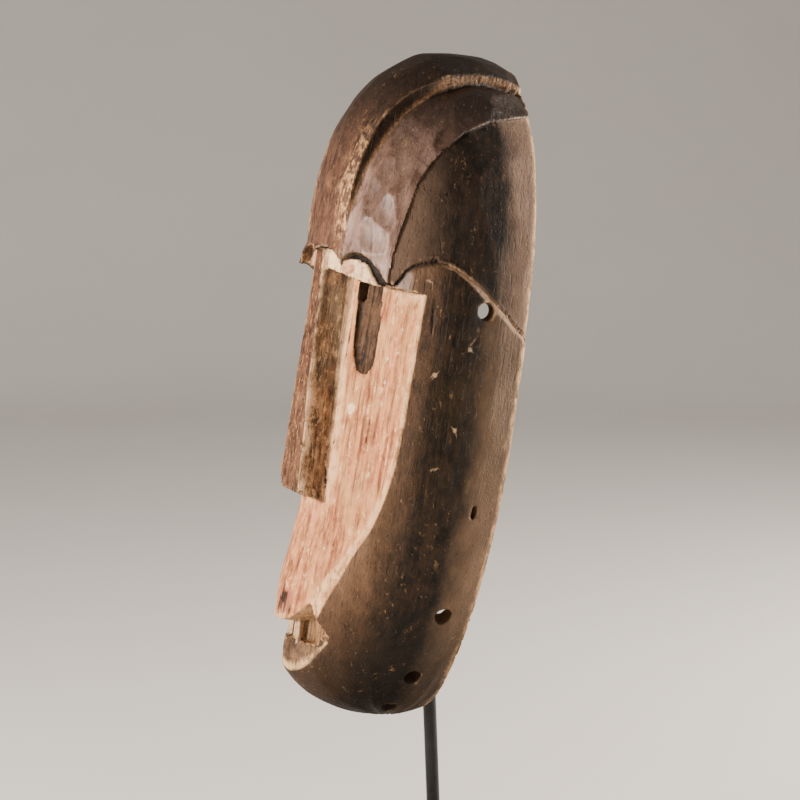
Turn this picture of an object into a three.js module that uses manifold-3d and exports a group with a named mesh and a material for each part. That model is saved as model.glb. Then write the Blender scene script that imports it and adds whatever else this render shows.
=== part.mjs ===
// Carved wooden boa mask on a straight black rod with a square foot.
//
// The mask is modelled upright in its own frame: x to the wearer's left, depth d forward of the
// flat rim (the frame's -y) and z up along the mask. It is then leaned back and lifted on the rod.
// All sizes are in millimetres. The origin is the middle of the foot's underside.

import * as THREE from 'three';
import { mergeVertices } from 'three/addons/utils/BufferGeometryUtils.js';
import Module from 'manifold-3d';

const wasm = await Module();
wasm.setup();

const { clamp, degToRad, mapLinear, smoothstep } = THREE.MathUtils;

// Driving dimensions of the stand
const FOOT_SIDE = 150;
const FOOT_THICKNESS = 10;
const FOOT_BEVEL = 1.5;
const ROD_DIAMETER = 8;
const ROD_SEAT_DEPTH = 7;
const ROD_BACK = 23.6;
const ROD_LEAN = degToRad(2.3);
const MASK_LIFT = 122;
const MASK_BACK = 12;
const MASK_LEAN = degToRad(8.5);
const FIT_GAP = 0.3;

// The whole blank: widest at the jaw and shoulder heights, closed over the crown and under the chin
const HALF_WIDTH = 80.8;
const FULLEST_DEPTH = 26;
const RIM_TUCK_X = 0.037;
const RIM_TUCK_Z = 0.03;
const MID_HEIGHT = 192;
const SHOULDER_HEIGHT = 246;
const JAW_HEIGHT = 169;
const JAW_POWER = 1.75;
const CHIN_CAP_HEIGHT = 60;
const CHIN_POWER = 2.3;
const LOWEST = -6.6;

// Heights between which the muzzle, the forehead of the hollow, the brow's flare and the jaw blend in
const MUZZLE_RANGE = [60, 112];
const FOREHEAD_RANGE = [250, 300];
const FLARE_RANGE = [258, 268];
const JAW_RANGE = [60, 150];

// Brow, cheeks and muzzle
const BROW_HEIGHT = 249;
const BROW_DEPTH = 93;
const MUZZLE_EXTRA_DEPTH = 8.7;
const RIDGE_TOP_DEPTH = 88;
const RIDGE_FALL = 3;
const RIDGE_LENGTH = 135;
const RIDGE_LIP_EXTRA = 6;
const RIDGE_LIP_RANGE = [62, 114];
const RIDGE_ROUND = 5;
const CHEEK_SLOPE = 0.37;
const LIP_EXTRA_SLOPE = 0.04;
const LIP_SLOPE_RANGE = [70, 100];
const TEMPLE_SINK = 2.2;

// Crest over the crown
const CREST_HALF_WIDTH = 29;
const CREST_BACK_HALF_WIDTH = 21;
const CREST_TAPER_DEPTH = 60;
const BROW_FLARE = 3.5;

// Nose: a bar that is narrow at the top and stands out to its flat front
const NOSE_FRONT = 102;
const NOSE_BACK = 70;
const NOSE_TOP = 264;
const NOSE_BOTTOM_FRONT = 123;
const NOSE_BOTTOM_BACK = 117;
const NOSE_TOP_HALF_WIDTHS = { front: 6, back: 17 };
const NOSE_BOTTOM_HALF_WIDTHS = { front: 17, back: 22.5 };

// Eyes: slots that are open to the front, each with a small hole through at the top inner corner
const EYE_INNER = { top: 20, bottom: 26 };
const EYE_OUTER = { top: 37, bottom: 38 };
const EYE_FLOOR = { top: 71, bottom: 76 };
const EYE_FRONT = 100;
const EYE_BOTTOM_FRONT = 187;
const EYE_BOTTOM_FLOOR = 200;
const EYE_HOLE = { inner: 20.2, outer: 25.5, back: 50, front: 90, bottom: 236, top: 247 };

// Mouth, teeth and lower lip
const MOUTH_FLOOR = 37;
const MOUTH_BACK = 80;
const TOOTH = { inner: 1.2, outer: 9.5, back: 75, front: 87, bottom: 35, top: 50 };
const LOWER_LIP_DEPTH = 90;
const LOWER_LIP_SLOPE = 0.36;
const LOWER_LIP_BELLY = 1.2;
const LOWER_LIP_BELLY_RANGE = [12, 46];
const CHIN_CURL = 0.006;
const CHIN_CURL_FROM = 18;

// Tie holes along each side: a point on the axis, the diameter, how far the hole is drawn out along
// the height, and how steeply its axis drops away from the mask in radians
const TIE_HOLES = [
  { x: 80, d: 27.9, z: 243.3, diameter: 9.6, stretch: 1, drop: 0 },
  { x: 76, d: 16.6, z: 129, diameter: 3.2, stretch: 2.6, drop: 0.12 },
  { x: 58, d: 18.6, z: 66, diameter: 9.6, stretch: 1, drop: 0.6 },
  { x: 38, d: 23.6, z: 25, diameter: 9.6, stretch: 1, drop: 0.9 },
  { x: 18, d: 27, z: 2, diameter: 9.6, stretch: 1, drop: 1.3 },
];

// Places clear of the mask, for the far ends of the cutting blocks
const BESIDE = 100;
const IN_FRONT = 140;
const BEHIND = -12;
const ABOVE = 400;
const BELOW = -20;

// The five nested forms of the carving. Each has a half width and a front depth that close over
// the crown and under the chin, and a rounded section between them.
const CREST_FORM = {
  half: HALF_WIDTH, depth: 104.5, top: 387, widthPower: 1.75,
  crownFrom: 283, crownRise: 104, crownPower: 2.45, section: 2.2, flare: BROW_FLARE,
};
const LOBE_FORM = {
  half: HALF_WIDTH, depth: 103.5, top: 380, widthPower: 1.95,
  crownFrom: 268, crownRise: 112, crownPower: 1.95, section: 2.2,
};
const TEMPLE_FORM = {
  ...LOBE_FORM,
  half: HALF_WIDTH - TEMPLE_SINK,
  depth: LOBE_FORM.depth - TEMPLE_SINK,
  top: LOBE_FORM.top - TEMPLE_SINK,
};
const FACE_FORM = {
  ...LOBE_FORM, depth: BROW_DEPTH, section: 2.33, muzzle: MUZZLE_EXTRA_DEPTH, jawSection: 0.43,
};
const HOLLOW_FORM = {
  half: 70, depth: 68, top: 367, widthPower: 1.95,
  crownFrom: 262, crownRise: 103, crownPower: 2.1, section: 2.2, forehead: 14, bottom: 8,
};

// Cap curve of a blank: full at t = 0, closed at t = 1.
function cap(t, power) {
  if (t <= 0) return 1;
  if (t >= 1) return 0;
  return (1 - t ** power) ** (1 / power);
}

function halfWidthAt(form, z) {
  const bottom = form.bottom ?? LOWEST;
  if (z > SHOULDER_HEIGHT) {
    return form.half * cap((z - SHOULDER_HEIGHT) / (form.top - SHOULDER_HEIGHT), form.widthPower);
  }
  return form.half * cap((JAW_HEIGHT - z) / (JAW_HEIGHT - bottom), JAW_POWER);
}

function depthAt(form, z) {
  const bottom = form.bottom ?? LOWEST;
  let depth = form.depth - FULLEST_DEPTH;
  if (form.muzzle) depth += form.muzzle * (1 - smoothstep(z, ...MUZZLE_RANGE));
  if (form.forehead) depth += form.forehead * smoothstep(z, ...FOREHEAD_RANGE);
  if (form.flare) depth += form.flare * (1 - smoothstep(z, ...FLARE_RANGE));
  if (z > form.crownFrom) return depth * cap((z - form.crownFrom) / form.crownRise, form.crownPower);
  return depth * cap((CHIN_CAP_HEIGHT - z) / (CHIN_CAP_HEIGHT - bottom), CHIN_POWER);
}

// Below 1 inside the form, 1 on its surface. Behind the fullest depth the form tucks in to the rim.
function fill(form, x, d, z) {
  let depth = d;
  let side = Math.abs(x);
  let height = z;
  if (d < FULLEST_DEPTH) {
    const tuck = ((FULLEST_DEPTH - d) / FULLEST_DEPTH) ** 2;
    side *= 1 + RIM_TUCK_X * tuck;
    height = MID_HEIGHT + (z - MID_HEIGHT) * (1 + RIM_TUCK_Z * tuck);
    depth = FULLEST_DEPTH;
  }
  const half = halfWidthAt(form, height);
  const front = depthAt(form, height);
  if (half <= 0 || front <= 0) return Infinity;
  const jaw = (form.jawSection ?? 0) * (1 - smoothstep(height, ...JAW_RANGE));
  const power = form.section - jaw;
  return (side / half) ** power + ((depth - FULLEST_DEPTH) / front) ** power;
}

// Turns a geometry into a solid for cutting and joining.
function solid(geometry) {
  geometry.deleteAttribute('normal');
  geometry.deleteAttribute('uv');
  const mergeDistance = 1e-4;
  const merged = mergeVertices(geometry, mergeDistance);
  return new wasm.Manifold(new wasm.Mesh({
    numProp: 3,
    vertProperties: new Float32Array(merged.attributes.position.array),
    triVerts: new Uint32Array(merged.index.array),
  }));
}

function geometryOf(manifold) {
  const mesh = manifold.getMesh();
  const geometry = new THREE.BufferGeometry();
  geometry.setAttribute('position', new THREE.BufferAttribute(new Float32Array(mesh.vertProperties), 3));
  geometry.setIndex(new THREE.BufferAttribute(new Uint32Array(mesh.triVerts), 1));
  geometry.computeVertexNormals();
  return geometry;
}

// A form as a closed mesh: a sphere whose middle is drawn out along the mask's height and whose
// points are moved out from an inner axis to the form's surface, by halving the distance.
function formSolid(form, sides, rings) {
  const axisDepth = 20;
  const axisHeights = [75, 262];
  const straightShare = 0.4;
  const farthest = 260;
  const halvings = 34;
  const behindRim = -6;
  const sphere = new THREE.SphereGeometry(1, sides, rings);
  sphere.rotateX(Math.PI / 2);
  const points = sphere.attributes.position;
  const direction = new THREE.Vector3();
  for (let i = 0; i < points.count; i++) {
    direction.fromBufferAttribute(points, i);
    const latitude = Math.asin(clamp(direction.z, -1, 1)) / (Math.PI / 2);
    const turn = Math.atan2(direction.y, direction.x);
    const along = clamp(latitude / straightShare, -1, 1);
    const anchor = mapLinear(along, -1, 1, ...axisHeights);
    const beyond = Math.max(0, Math.abs(latitude) - straightShare) / (1 - straightShare);
    const rise = Math.sign(latitude) * Math.sin(beyond * Math.PI / 2);
    const reach = Math.cos(beyond * Math.PI / 2);
    let inside = 0;
    let outside = farthest;
    for (let step = 0; step < halvings; step++) {
      const middle = (inside + outside) / 2;
      const x = middle * reach * Math.cos(turn);
      const d = axisDepth - middle * reach * Math.sin(turn);
      const z = anchor + middle * rise;
      if (d > behindRim && fill(form, x, d, z) < 1) inside = middle;
      else outside = middle;
    }
    points.setXYZ(i, inside * reach * Math.cos(turn),
      inside * reach * Math.sin(turn) - axisDepth, anchor + inside * rise);
  }
  return solid(sphere);
}

function box(x0, x1, d0, d1, z0, z1) {
  const geometry = new THREE.BoxGeometry(Math.abs(x1 - x0), d1 - d0, z1 - z0);
  geometry.translate((x0 + x1) / 2, -(d0 + d1) / 2, (z0 + z1) / 2);
  return solid(geometry);
}

// A box with slanted faces: cornerOf gives a corner's x, d and z from whether it is on the positive
// side, at the front and at the top.
function wedge(cornerOf) {
  const geometry = new THREE.BoxGeometry(1, 1, 1);
  const points = geometry.attributes.position;
  for (let i = 0; i < points.count; i++) {
    const [x, d, z] = cornerOf(points.getX(i) > 0, points.getY(i) < 0, points.getZ(i) > 0);
    points.setXYZ(i, x, -d, z);
  }
  return solid(geometry);
}

// A prism whose outline is drawn in the front view (x, z) and that runs from depth d0 to d1.
function frontPrism(outline, d0, d1) {
  const shape = new THREE.Shape(outline.map(([x, z]) => new THREE.Vector2(x, z)));
  const geometry = new THREE.ExtrudeGeometry(shape, { depth: d1 - d0, bevelEnabled: false });
  geometry.rotateX(Math.PI / 2);
  geometry.translate(0, -d0, 0);
  return solid(geometry);
}

// A prism whose outline is drawn in the side view (d, z) and that runs over the whole width.
function sidePrism(outline) {
  const shape = new THREE.Shape(outline.map(([d, z]) => new THREE.Vector2(-d, z)));
  const geometry = new THREE.ExtrudeGeometry(shape, { depth: 2 * BESIDE, bevelEnabled: false });
  geometry.rotateX(Math.PI / 2);
  geometry.rotateZ(Math.PI / 2);
  geometry.translate(-BESIDE, 0, 0);
  return solid(geometry);
}

// A prism whose outline is drawn in the top view (x, d).
function topPrism(outline, z0, z1) {
  const shape = new THREE.Shape(outline.map(([x, d]) => new THREE.Vector2(x, -d)));
  const geometry = new THREE.ExtrudeGeometry(shape, { depth: z1 - z0, bevelEnabled: false });
  geometry.translate(0, 0, z0);
  return solid(geometry);
}

// The other half of a front view outline, added to a half that starts on the middle line.
function mirrored(outline) {
  const otherSide = outline.filter(([x]) => x > 0).map(([x, z]) => [-x, z]);
  return [...outline, ...otherSide.reverse()];
}

// Points of an arch that rises from (x0, z0) to a crown and comes down at (x1, z1).
function arch(x0, z0, x1, z1, crown) {
  const steps = 10;
  const fullness = 0.75;
  const points = [];
  for (let i = 0; i <= steps; i++) {
    const t = i / steps;
    const chord = z0 + (z1 - z0) * t;
    points.push([x0 + (x1 - x0) * t, chord + crown * Math.sin(Math.PI * t) ** fullness]);
  }
  return points;
}

// Depth of the centre ridge between the two cheek planes: it comes forward to the lip.
function ridgeDepth(z) {
  const cheek = RIDGE_TOP_DEPTH + RIDGE_FALL * (BROW_HEIGHT - z) / RIDGE_LENGTH;
  return cheek + RIDGE_LIP_EXTRA * (1 - smoothstep(z, ...RIDGE_LIP_RANGE));
}

function cheekDepth(x, z) {
  const slope = CHEEK_SLOPE + LIP_EXTRA_SLOPE * (1 - smoothstep(z, ...LIP_SLOPE_RANGE));
  return ridgeDepth(z) - slope * (Math.hypot(x, RIDGE_ROUND) - RIDGE_ROUND);
}

function lowerLipDepth(x, z) {
  const [from, to] = LOWER_LIP_BELLY_RANGE;
  const belly = LOWER_LIP_BELLY * Math.sin(Math.PI * clamp((z - from) / (to - from), 0, 1));
  const curl = CHIN_CURL * Math.max(0, CHIN_CURL_FROM - z) ** 2;
  return LOWER_LIP_DEPTH - LOWER_LIP_SLOPE * Math.abs(x) + belly - curl;
}

// A block in front of a surface that is given as a depth over the front view.
function frontBlock(halfXs, zs, depthOf) {
  const xs = [...halfXs.map((x) => -x).reverse(), 0, ...halfXs];
  const geometry = new THREE.BoxGeometry(1, 1, 1, xs.length - 1, 1, zs.length - 1);
  const points = geometry.attributes.position;
  for (let i = 0; i < points.count; i++) {
    const x = xs[Math.round((points.getX(i) + 0.5) * (xs.length - 1))];
    const z = zs[Math.round((points.getZ(i) + 0.5) * (zs.length - 1))];
    const near = points.getY(i) > 0;
    points.setXYZ(i, x, near ? -depthOf(x, z) : -IN_FRONT, z);
  }
  return solid(geometry);
}

function cheekCut() {
  const halfXs = [6, 14, 30, 60, 95];
  const zs = [40, 50, 56, 62, 68, 76, 84, 92, 100, 110, 130, 170, 210, BROW_HEIGHT];
  return frontBlock(halfXs, zs, cheekDepth);
}

function lowerLipCut() {
  const halfXs = [5, 12, 30, 60];
  const zs = [BELOW, 14, 20, 28, 36, 44];
  return frontBlock(halfXs, zs, lowerLipDepth);
}

// What is cut away under the brow, in the front view: a small arch over the nose, and a wide one
// over each eye.
function underBrowOutline() {
  const overNose = [[0, 264], [8, 263.4], [15, 261], [20.5, 257.4], [23.5, 253.6], [26.5, 253.8]];
  const overEye = arch(28.6, 256.8, 60.6, BROW_HEIGHT, 12);
  const low = 200;
  const overlap = 0.2;
  return mirrored([...overNose, ...overEye, [BESIDE, BROW_HEIGHT - overlap], [BESIDE, low]]);
}

// The arch over the temple in the side view: steep at the eye, one long slope back to the rim.
const TEMPLE_APEX = [60, 267];
const TEMPLE_FRONT_DEPTH = 81;
const TEMPLE_BACK_SLOPE = [
  [49, 265.4], [40.5, 261.5], [29.5, 254.4], [16.7, 244.4], [BEHIND, 220.5], [BEHIND, ABOVE],
];

function crownOutline() {
  const [apexDepth, apexHeight] = TEMPLE_APEX;
  const steps = 6;
  const outline = [[IN_FRONT, BROW_HEIGHT - 1]];
  for (let i = 0; i <= steps; i++) {
    const turn = (i / steps) * Math.PI / 2;
    outline.push([
      apexDepth + (TEMPLE_FRONT_DEPTH - apexDepth) * Math.cos(turn),
      BROW_HEIGHT + (apexHeight - BROW_HEIGHT) * Math.sin(turn),
    ]);
  }
  return [...outline, ...TEMPLE_BACK_SLOPE, [IN_FRONT, ABOVE]];
}

// The same arch for the face under it, which overlaps the crown a little so that the two join.
function templeOutline() {
  const overlap = 0.3;
  const outline = [TEMPLE_APEX, ...TEMPLE_BACK_SLOPE, [TEMPLE_APEX[0], ABOVE]];
  return outline.map(([d, z]) => [d, z + overlap]);
}

// The lobe beside the crest ends at a line that runs up from the eye and back to the rim.
function lobeOutline() {
  const low = 200;
  return [
    [TEMPLE_FRONT_DEPTH, low], [TEMPLE_FRONT_DEPTH, 256], [80.4, 266], [78.3, 279], [75.4, 291],
    [70.7, 308], [64.6, 320], [56.6, 330], [44.8, 341], [29, 349], [BEHIND, 358], [BEHIND, ABOVE],
    [IN_FRONT, ABOVE], [IN_FRONT, low],
  ];
}

function crestOutline() {
  return [
    [CREST_HALF_WIDTH, IN_FRONT], [CREST_HALF_WIDTH, CREST_TAPER_DEPTH], [CREST_BACK_HALF_WIDTH, -10],
    [-CREST_BACK_HALF_WIDTH, -10], [-CREST_HALF_WIDTH, CREST_TAPER_DEPTH], [-CREST_HALF_WIDTH, IN_FRONT],
  ];
}

function mouthOutline() {
  return mirrored([
    [0, 47.5], [5, 47], [11, 49], [19, 54.5], [26.5, 62], [30, 57.5], [33, 49.5],
    [35, 43.5], [30, MOUTH_FLOOR + 1], [18, MOUTH_FLOOR],
  ]);
}

function noseSolid() {
  return wedge((positive, front, top) => {
    const halves = top ? NOSE_TOP_HALF_WIDTHS : NOSE_BOTTOM_HALF_WIDTHS;
    const half = front ? halves.front : halves.back;
    const bottom = front ? NOSE_BOTTOM_FRONT : NOSE_BOTTOM_BACK;
    return [positive ? half : -half, front ? NOSE_FRONT : NOSE_BACK, top ? NOSE_TOP : bottom];
  });
}

function eyeSlot(side) {
  const slot = wedge((positive, front, top) => {
    const edge = positive === side > 0 ? EYE_OUTER : EYE_INNER;
    const level = top ? 'top' : 'bottom';
    const bottom = front ? EYE_BOTTOM_FRONT : EYE_BOTTOM_FLOOR;
    return [side * edge[level], front ? EYE_FRONT : EYE_FLOOR[level], top ? BROW_HEIGHT : bottom];
  });
  const { inner, outer, back, front, bottom, top } = EYE_HOLE;
  return slot.add(box(side * inner, side * outer, back, front, bottom, top));
}

function tooth(side) {
  const { inner, outer, back, front, bottom, top } = TOOTH;
  return box(side * inner, side * outer, back, front, bottom, top);
}

function tieHole(hole, side) {
  const length = 60;
  const sides = 14;
  const geometry = new THREE.CylinderGeometry(hole.diameter / 2, hole.diameter / 2, length, sides);
  geometry.scale(1, 1, hole.stretch);
  const axis = new THREE.Vector3(side * Math.cos(hole.drop), 0, -Math.sin(hole.drop));
  geometry.applyQuaternion(new THREE.Quaternion().setFromUnitVectors(new THREE.Vector3(0, 1, 0), axis));
  geometry.translate(side * hole.x, -hole.d, hole.z);
  return solid(geometry);
}

function carveMask() {
  const crestBottom = 200;
  const faceTop = 270;
  const temple = formSolid(TEMPLE_FORM, 52, 40);
  const lobes = formSolid(LOBE_FORM, 52, 40).intersect(sidePrism(lobeOutline()));
  const crest = formSolid(CREST_FORM, 52, 44).intersect(topPrism(crestOutline(), crestBottom, ABOVE));
  const crown = temple.add(lobes).add(crest)
    .subtract(frontPrism(underBrowOutline(), TEMPLE_APEX[0], IN_FRONT))
    .intersect(sidePrism(crownOutline()));
  const face = formSolid(FACE_FORM, 52, 40)
    .intersect(box(-BESIDE, BESIDE, BEHIND, IN_FRONT, BELOW, faceTop))
    .subtract(sidePrism(templeOutline()))
    .subtract(cheekCut())
    .subtract(lowerLipCut());
  const nose = noseSolid().intersect(formSolid(CREST_FORM, 24, 20));
  let mask = face.add(nose).add(crown)
    .subtract(frontPrism(mouthOutline(), MOUTH_BACK, IN_FRONT))
    .add(tooth(-1))
    .add(tooth(1))
    .subtract(formSolid(HOLLOW_FORM, 32, 26));
  for (const side of [-1, 1]) {
    mask = mask.subtract(eyeSlot(side));
    for (const hole of TIE_HOLES) mask = mask.subtract(tieHole(hole, side));
  }
  const behindRim = box(-BESIDE, BESIDE, -IN_FRONT, 0, 2 * BELOW, ABOVE);
  return mask.subtract(behindRim);
}

function maskMesh() {
  const material = new THREE.MeshStandardMaterial({ color: 0x6b4a33, roughness: 0.7, metalness: 0 });
  const mesh = new THREE.Mesh(geometryOf(carveMask()), material);
  mesh.name = 'mask';
  mesh.rotation.x = -MASK_LEAN;
  mesh.position.set(0, MASK_BACK, MASK_LIFT);
  return mesh;
}

// The rod's foot end sits in the plate, and its top end reaches up into the crown's hollow.
const ROD_FOOT_END = FOOT_THICKNESS - ROD_SEAT_DEPTH + FIT_GAP;

// The longest rod whose top end keeps clear of the hollow's crown.
function rodLength() {
  const clearance = 1.3;
  const shortest = 300;
  const step = 0.5;
  const toMask = new THREE.Matrix4()
    .makeTranslation(0, MASK_BACK, MASK_LIFT)
    .multiply(new THREE.Matrix4().makeRotationX(-MASK_LEAN))
    .invert();
  const edgeInHollow = (reach, edge) => {
    const y = ROD_BACK - reach * Math.sin(ROD_LEAN) + edge;
    const z = ROD_FOOT_END + reach * Math.cos(ROD_LEAN);
    const point = new THREE.Vector3(0, y, z).applyMatrix4(toMask);
    return fill(HOLLOW_FORM, 0, -point.y, point.z) < 1;
  };
  const clear = (length) => [-ROD_DIAMETER / 2, ROD_DIAMETER / 2]
    .every((edge) => edgeInHollow(length + clearance, edge));
  let length = shortest;
  while (clear(length + step)) length += step;
  return length + step;
}

function rodMesh() {
  const length = rodLength();
  const sides = 20;
  const geometry = new THREE.CylinderGeometry(ROD_DIAMETER / 2, ROD_DIAMETER / 2, length, sides);
  geometry.rotateX(Math.PI / 2);
  geometry.translate(0, 0, length / 2);
  const material = new THREE.MeshStandardMaterial({ color: 0x111112, roughness: 0.35, metalness: 0.9 });
  const mesh = new THREE.Mesh(geometry, material);
  mesh.name = 'stand_rod';
  mesh.rotation.x = ROD_LEAN;
  mesh.position.set(0, ROD_BACK, ROD_FOOT_END);
  return mesh;
}

function footMesh() {
  const half = FOOT_SIDE / 2 - FOOT_BEVEL;
  const corners = [[-half, -half], [half, -half], [half, half], [-half, half]];
  const shape = new THREE.Shape(corners.map(([x, y]) => new THREE.Vector2(x, y)));
  const plate = new THREE.ExtrudeGeometry(shape, {
    depth: FOOT_THICKNESS - 2 * FOOT_BEVEL,
    bevelEnabled: true,
    bevelThickness: FOOT_BEVEL,
    bevelSize: FOOT_BEVEL,
    bevelSegments: 1,
  });
  plate.translate(0, 0, FOOT_BEVEL);
  const seatRadius = ROD_DIAMETER / 2 + FIT_GAP + 0.2;
  const seatHeight = 20;
  const seat = new THREE.CylinderGeometry(seatRadius, seatRadius, seatHeight, 24);
  seat.rotateX(Math.PI / 2);
  seat.translate(0, ROD_BACK, FOOT_THICKNESS - ROD_SEAT_DEPTH + seatHeight / 2);
  const material = new THREE.MeshStandardMaterial({ color: 0x121212, roughness: 0.5, metalness: 0.8 });
  const mesh = new THREE.Mesh(geometryOf(solid(plate).subtract(solid(seat))), material);
  mesh.name = 'stand_foot';
  return mesh;
}

const maskOnStand = new THREE.Group();
maskOnStand.add(maskMesh(), rodMesh(), footMesh());

export default maskOnStand;
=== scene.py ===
# Looks of the carved wooden boa mask on its black rod and square foot.
import math

import bpy
import numpy as np
from mathutils import Matrix, Vector


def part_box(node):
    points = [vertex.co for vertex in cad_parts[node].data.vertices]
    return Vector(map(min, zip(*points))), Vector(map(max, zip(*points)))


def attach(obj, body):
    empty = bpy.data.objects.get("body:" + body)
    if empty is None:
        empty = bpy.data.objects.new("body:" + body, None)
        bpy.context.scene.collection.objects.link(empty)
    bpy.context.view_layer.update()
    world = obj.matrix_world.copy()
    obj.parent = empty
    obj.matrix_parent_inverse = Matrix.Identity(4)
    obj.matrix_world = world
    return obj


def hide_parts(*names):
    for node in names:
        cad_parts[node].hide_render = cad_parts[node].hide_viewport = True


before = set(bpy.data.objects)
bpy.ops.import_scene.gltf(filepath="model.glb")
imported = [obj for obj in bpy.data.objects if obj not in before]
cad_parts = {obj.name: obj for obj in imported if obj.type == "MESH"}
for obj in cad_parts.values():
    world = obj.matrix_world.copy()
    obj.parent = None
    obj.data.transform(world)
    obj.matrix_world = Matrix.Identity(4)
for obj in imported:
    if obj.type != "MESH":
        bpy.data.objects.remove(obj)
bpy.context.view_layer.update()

# The mask's own frame: x to the wearer's left, depth d forward of the flat rim, z up, in
# millimetres. A mesh point is (x, -d, z) in metres until the mask is leaned back on its rod.
MM = 0.001
HALF_WIDTH = 80.8
FULLEST_DEPTH = 26
RIM_TUCK_X = 0.037
RIM_TUCK_Z = 0.03
MID_HEIGHT = 192
SHOULDER_HEIGHT = 246
JAW_HEIGHT = 169
JAW_POWER = 1.75
CHIN_CAP_HEIGHT = 60
CHIN_POWER = 2.3
LOWEST = -6.6
BROW_HEIGHT = 249
TEMPLE_SINK = 2.2
MASK_LEAN = math.radians(8.5)
MASK_PLACE = Vector((0, 12, 122)) * MM
ROD_LEAN = math.radians(2.3)
ROD_BACK = 23.6
ROD_FOOT_END = 3.3
ROD_RADIUS, ROD_LENGTH = 4, 468.7
SEAT_RADIUS, SEAT_FLOOR = 4.5, 3
FOOT_WIDTH, FOOT_THICKNESS = 150, 10
BESIDE, IN_FRONT, BEHIND, ABOVE, BELOW = 100, 140, -12, 400, -20
AXIS_LOW, AXIS_HIGH, AXIS_DEPTH = 75, 262, 20
CUTTER_FRONT = IN_FRONT - 8

# How fine the carved mesh is: its remeshed cells in millimetres, the triangles it is thinned
# to, and how many points are left alone because a colour changes there.
CELL = 0.8
TRIANGLES = 194000
KEPT_POINTS = 26000

CREST = dict(half=HALF_WIDTH, depth=104.5, top=387, width_power=1.75,
             crown_from=283, crown_rise=104, crown_power=2.45, section=2.2, flare=3.5)
LOBE = dict(half=HALF_WIDTH, depth=103.5, top=380, width_power=1.95,
            crown_from=268, crown_rise=112, crown_power=1.95, section=2.2)
TEMPLE = dict(LOBE, half=HALF_WIDTH - TEMPLE_SINK, depth=LOBE["depth"] - TEMPLE_SINK,
              top=LOBE["top"] - TEMPLE_SINK)
FACE = dict(LOBE, depth=93, section=2.33, muzzle=8.7, jaw_section=0.43)
HOLLOW = dict(half=70, depth=68, top=367, width_power=1.95,
              crown_from=262, crown_rise=103, crown_power=2.1, section=2.2, forehead=14, bottom=8)


def blend_in(value, low, high):
    t = np.clip((value - low) / (high - low), 0, 1)
    return t * t * (3 - 2 * t)


def fade(value, low, high):
    return 1 - blend_in(value, low, high)


def cap(t, power):
    return (1 - np.clip(t, 0, 1) ** power) ** (1 / power)


def half_width_at(form, z):
    bottom = form.get("bottom", LOWEST)
    high = form["half"] * cap((z - SHOULDER_HEIGHT) / (form["top"] - SHOULDER_HEIGHT), form["width_power"])
    low = form["half"] * cap((JAW_HEIGHT - z) / (JAW_HEIGHT - bottom), JAW_POWER)
    return np.where(z > SHOULDER_HEIGHT, high, low)


def depth_at(form, z):
    bottom = form.get("bottom", LOWEST)
    depth = form["depth"] - FULLEST_DEPTH
    depth = depth + form.get("muzzle", 0) * fade(z, 60, 112)
    depth = depth + form.get("forehead", 0) * blend_in(z, 250, 300)
    depth = depth + form.get("flare", 0) * fade(z, 258, 268)
    high = depth * cap((z - form["crown_from"]) / form["crown_rise"], form["crown_power"])
    low = depth * cap((CHIN_CAP_HEIGHT - z) / (CHIN_CAP_HEIGHT - bottom), CHIN_POWER)
    return np.where(z > form["crown_from"], high, low)


def fill(form, x, d, z):
    """Below 1 inside the form and 1 on its surface."""
    tuck = np.where(d < FULLEST_DEPTH, ((FULLEST_DEPTH - d) / FULLEST_DEPTH) ** 2, 0)
    side = np.abs(x) * (1 + RIM_TUCK_X * tuck)
    height = MID_HEIGHT + (z - MID_HEIGHT) * (1 + RIM_TUCK_Z * tuck)
    half = half_width_at(form, height)
    front = depth_at(form, height)
    power = form["section"] - form.get("jaw_section", 0) * fade(height, 60, 150)
    inside = (half > 1e-6) & (front > 1e-6)
    side = np.where(inside, side / np.where(inside, half, 1), 9)
    ahead = np.maximum(d - FULLEST_DEPTH, 0) / np.where(inside, front, 1)
    return side ** power + ahead ** power


def depth_inside(form, x, d, z):
    """About how many millimetres a point lies inside the form's surface."""
    here = fill(form, x, d, z)
    step = 0.5
    slope = np.sqrt(
        (fill(form, x + step, d, z) - here) ** 2
        + (fill(form, x, d + step, z) - here) ** 2
        + (fill(form, x, d, z + step) - here) ** 2
    ) / step
    return np.where(here > 1.6, -9, (1 - here) / np.maximum(slope, 1e-3))


# Blocks and cutters
def select_only(piece):
    bpy.ops.object.select_all(action="DESELECT")
    piece.select_set(True)
    bpy.context.view_layer.objects.active = piece


def start_piece(name, kind, **settings):
    """A new piece from one of Blender's own meshes."""
    bpy.ops.object.select_all(action="DESELECT")
    getattr(bpy.ops.mesh, f"primitive_{kind}_add")(**settings)
    piece = bpy.context.object
    piece.name = piece.data.name = name
    return piece


def points_of(piece):
    flat = np.empty(len(piece.data.vertices) * 3)
    piece.data.vertices.foreach_get("co", flat)
    return flat.reshape(-1, 3)


def place_points(piece, points):
    piece.data.vertices.foreach_set("co", np.asarray(points, dtype=float).ravel())
    piece.data.update()


def to_mesh(x, d, z):
    return np.stack([x, -np.asarray(d, dtype=float), z], axis=1) * MM


def extrude(shift):
    """Draws all faces of the active piece out by a shift in metres."""
    bpy.ops.object.mode_set(mode="EDIT")
    bpy.ops.mesh.select_all(action="SELECT")
    bpy.ops.mesh.extrude_region_move(TRANSFORM_OT_translate={"value": shift})
    bpy.ops.object.mode_set(mode="OBJECT")


def face_outwards(piece):
    select_only(piece)
    bpy.ops.object.mode_set(mode="EDIT")
    bpy.ops.mesh.select_all(action="SELECT")
    bpy.ops.mesh.normals_make_consistent(inside=False)
    bpy.ops.object.mode_set(mode="OBJECT")
    return piece


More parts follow.
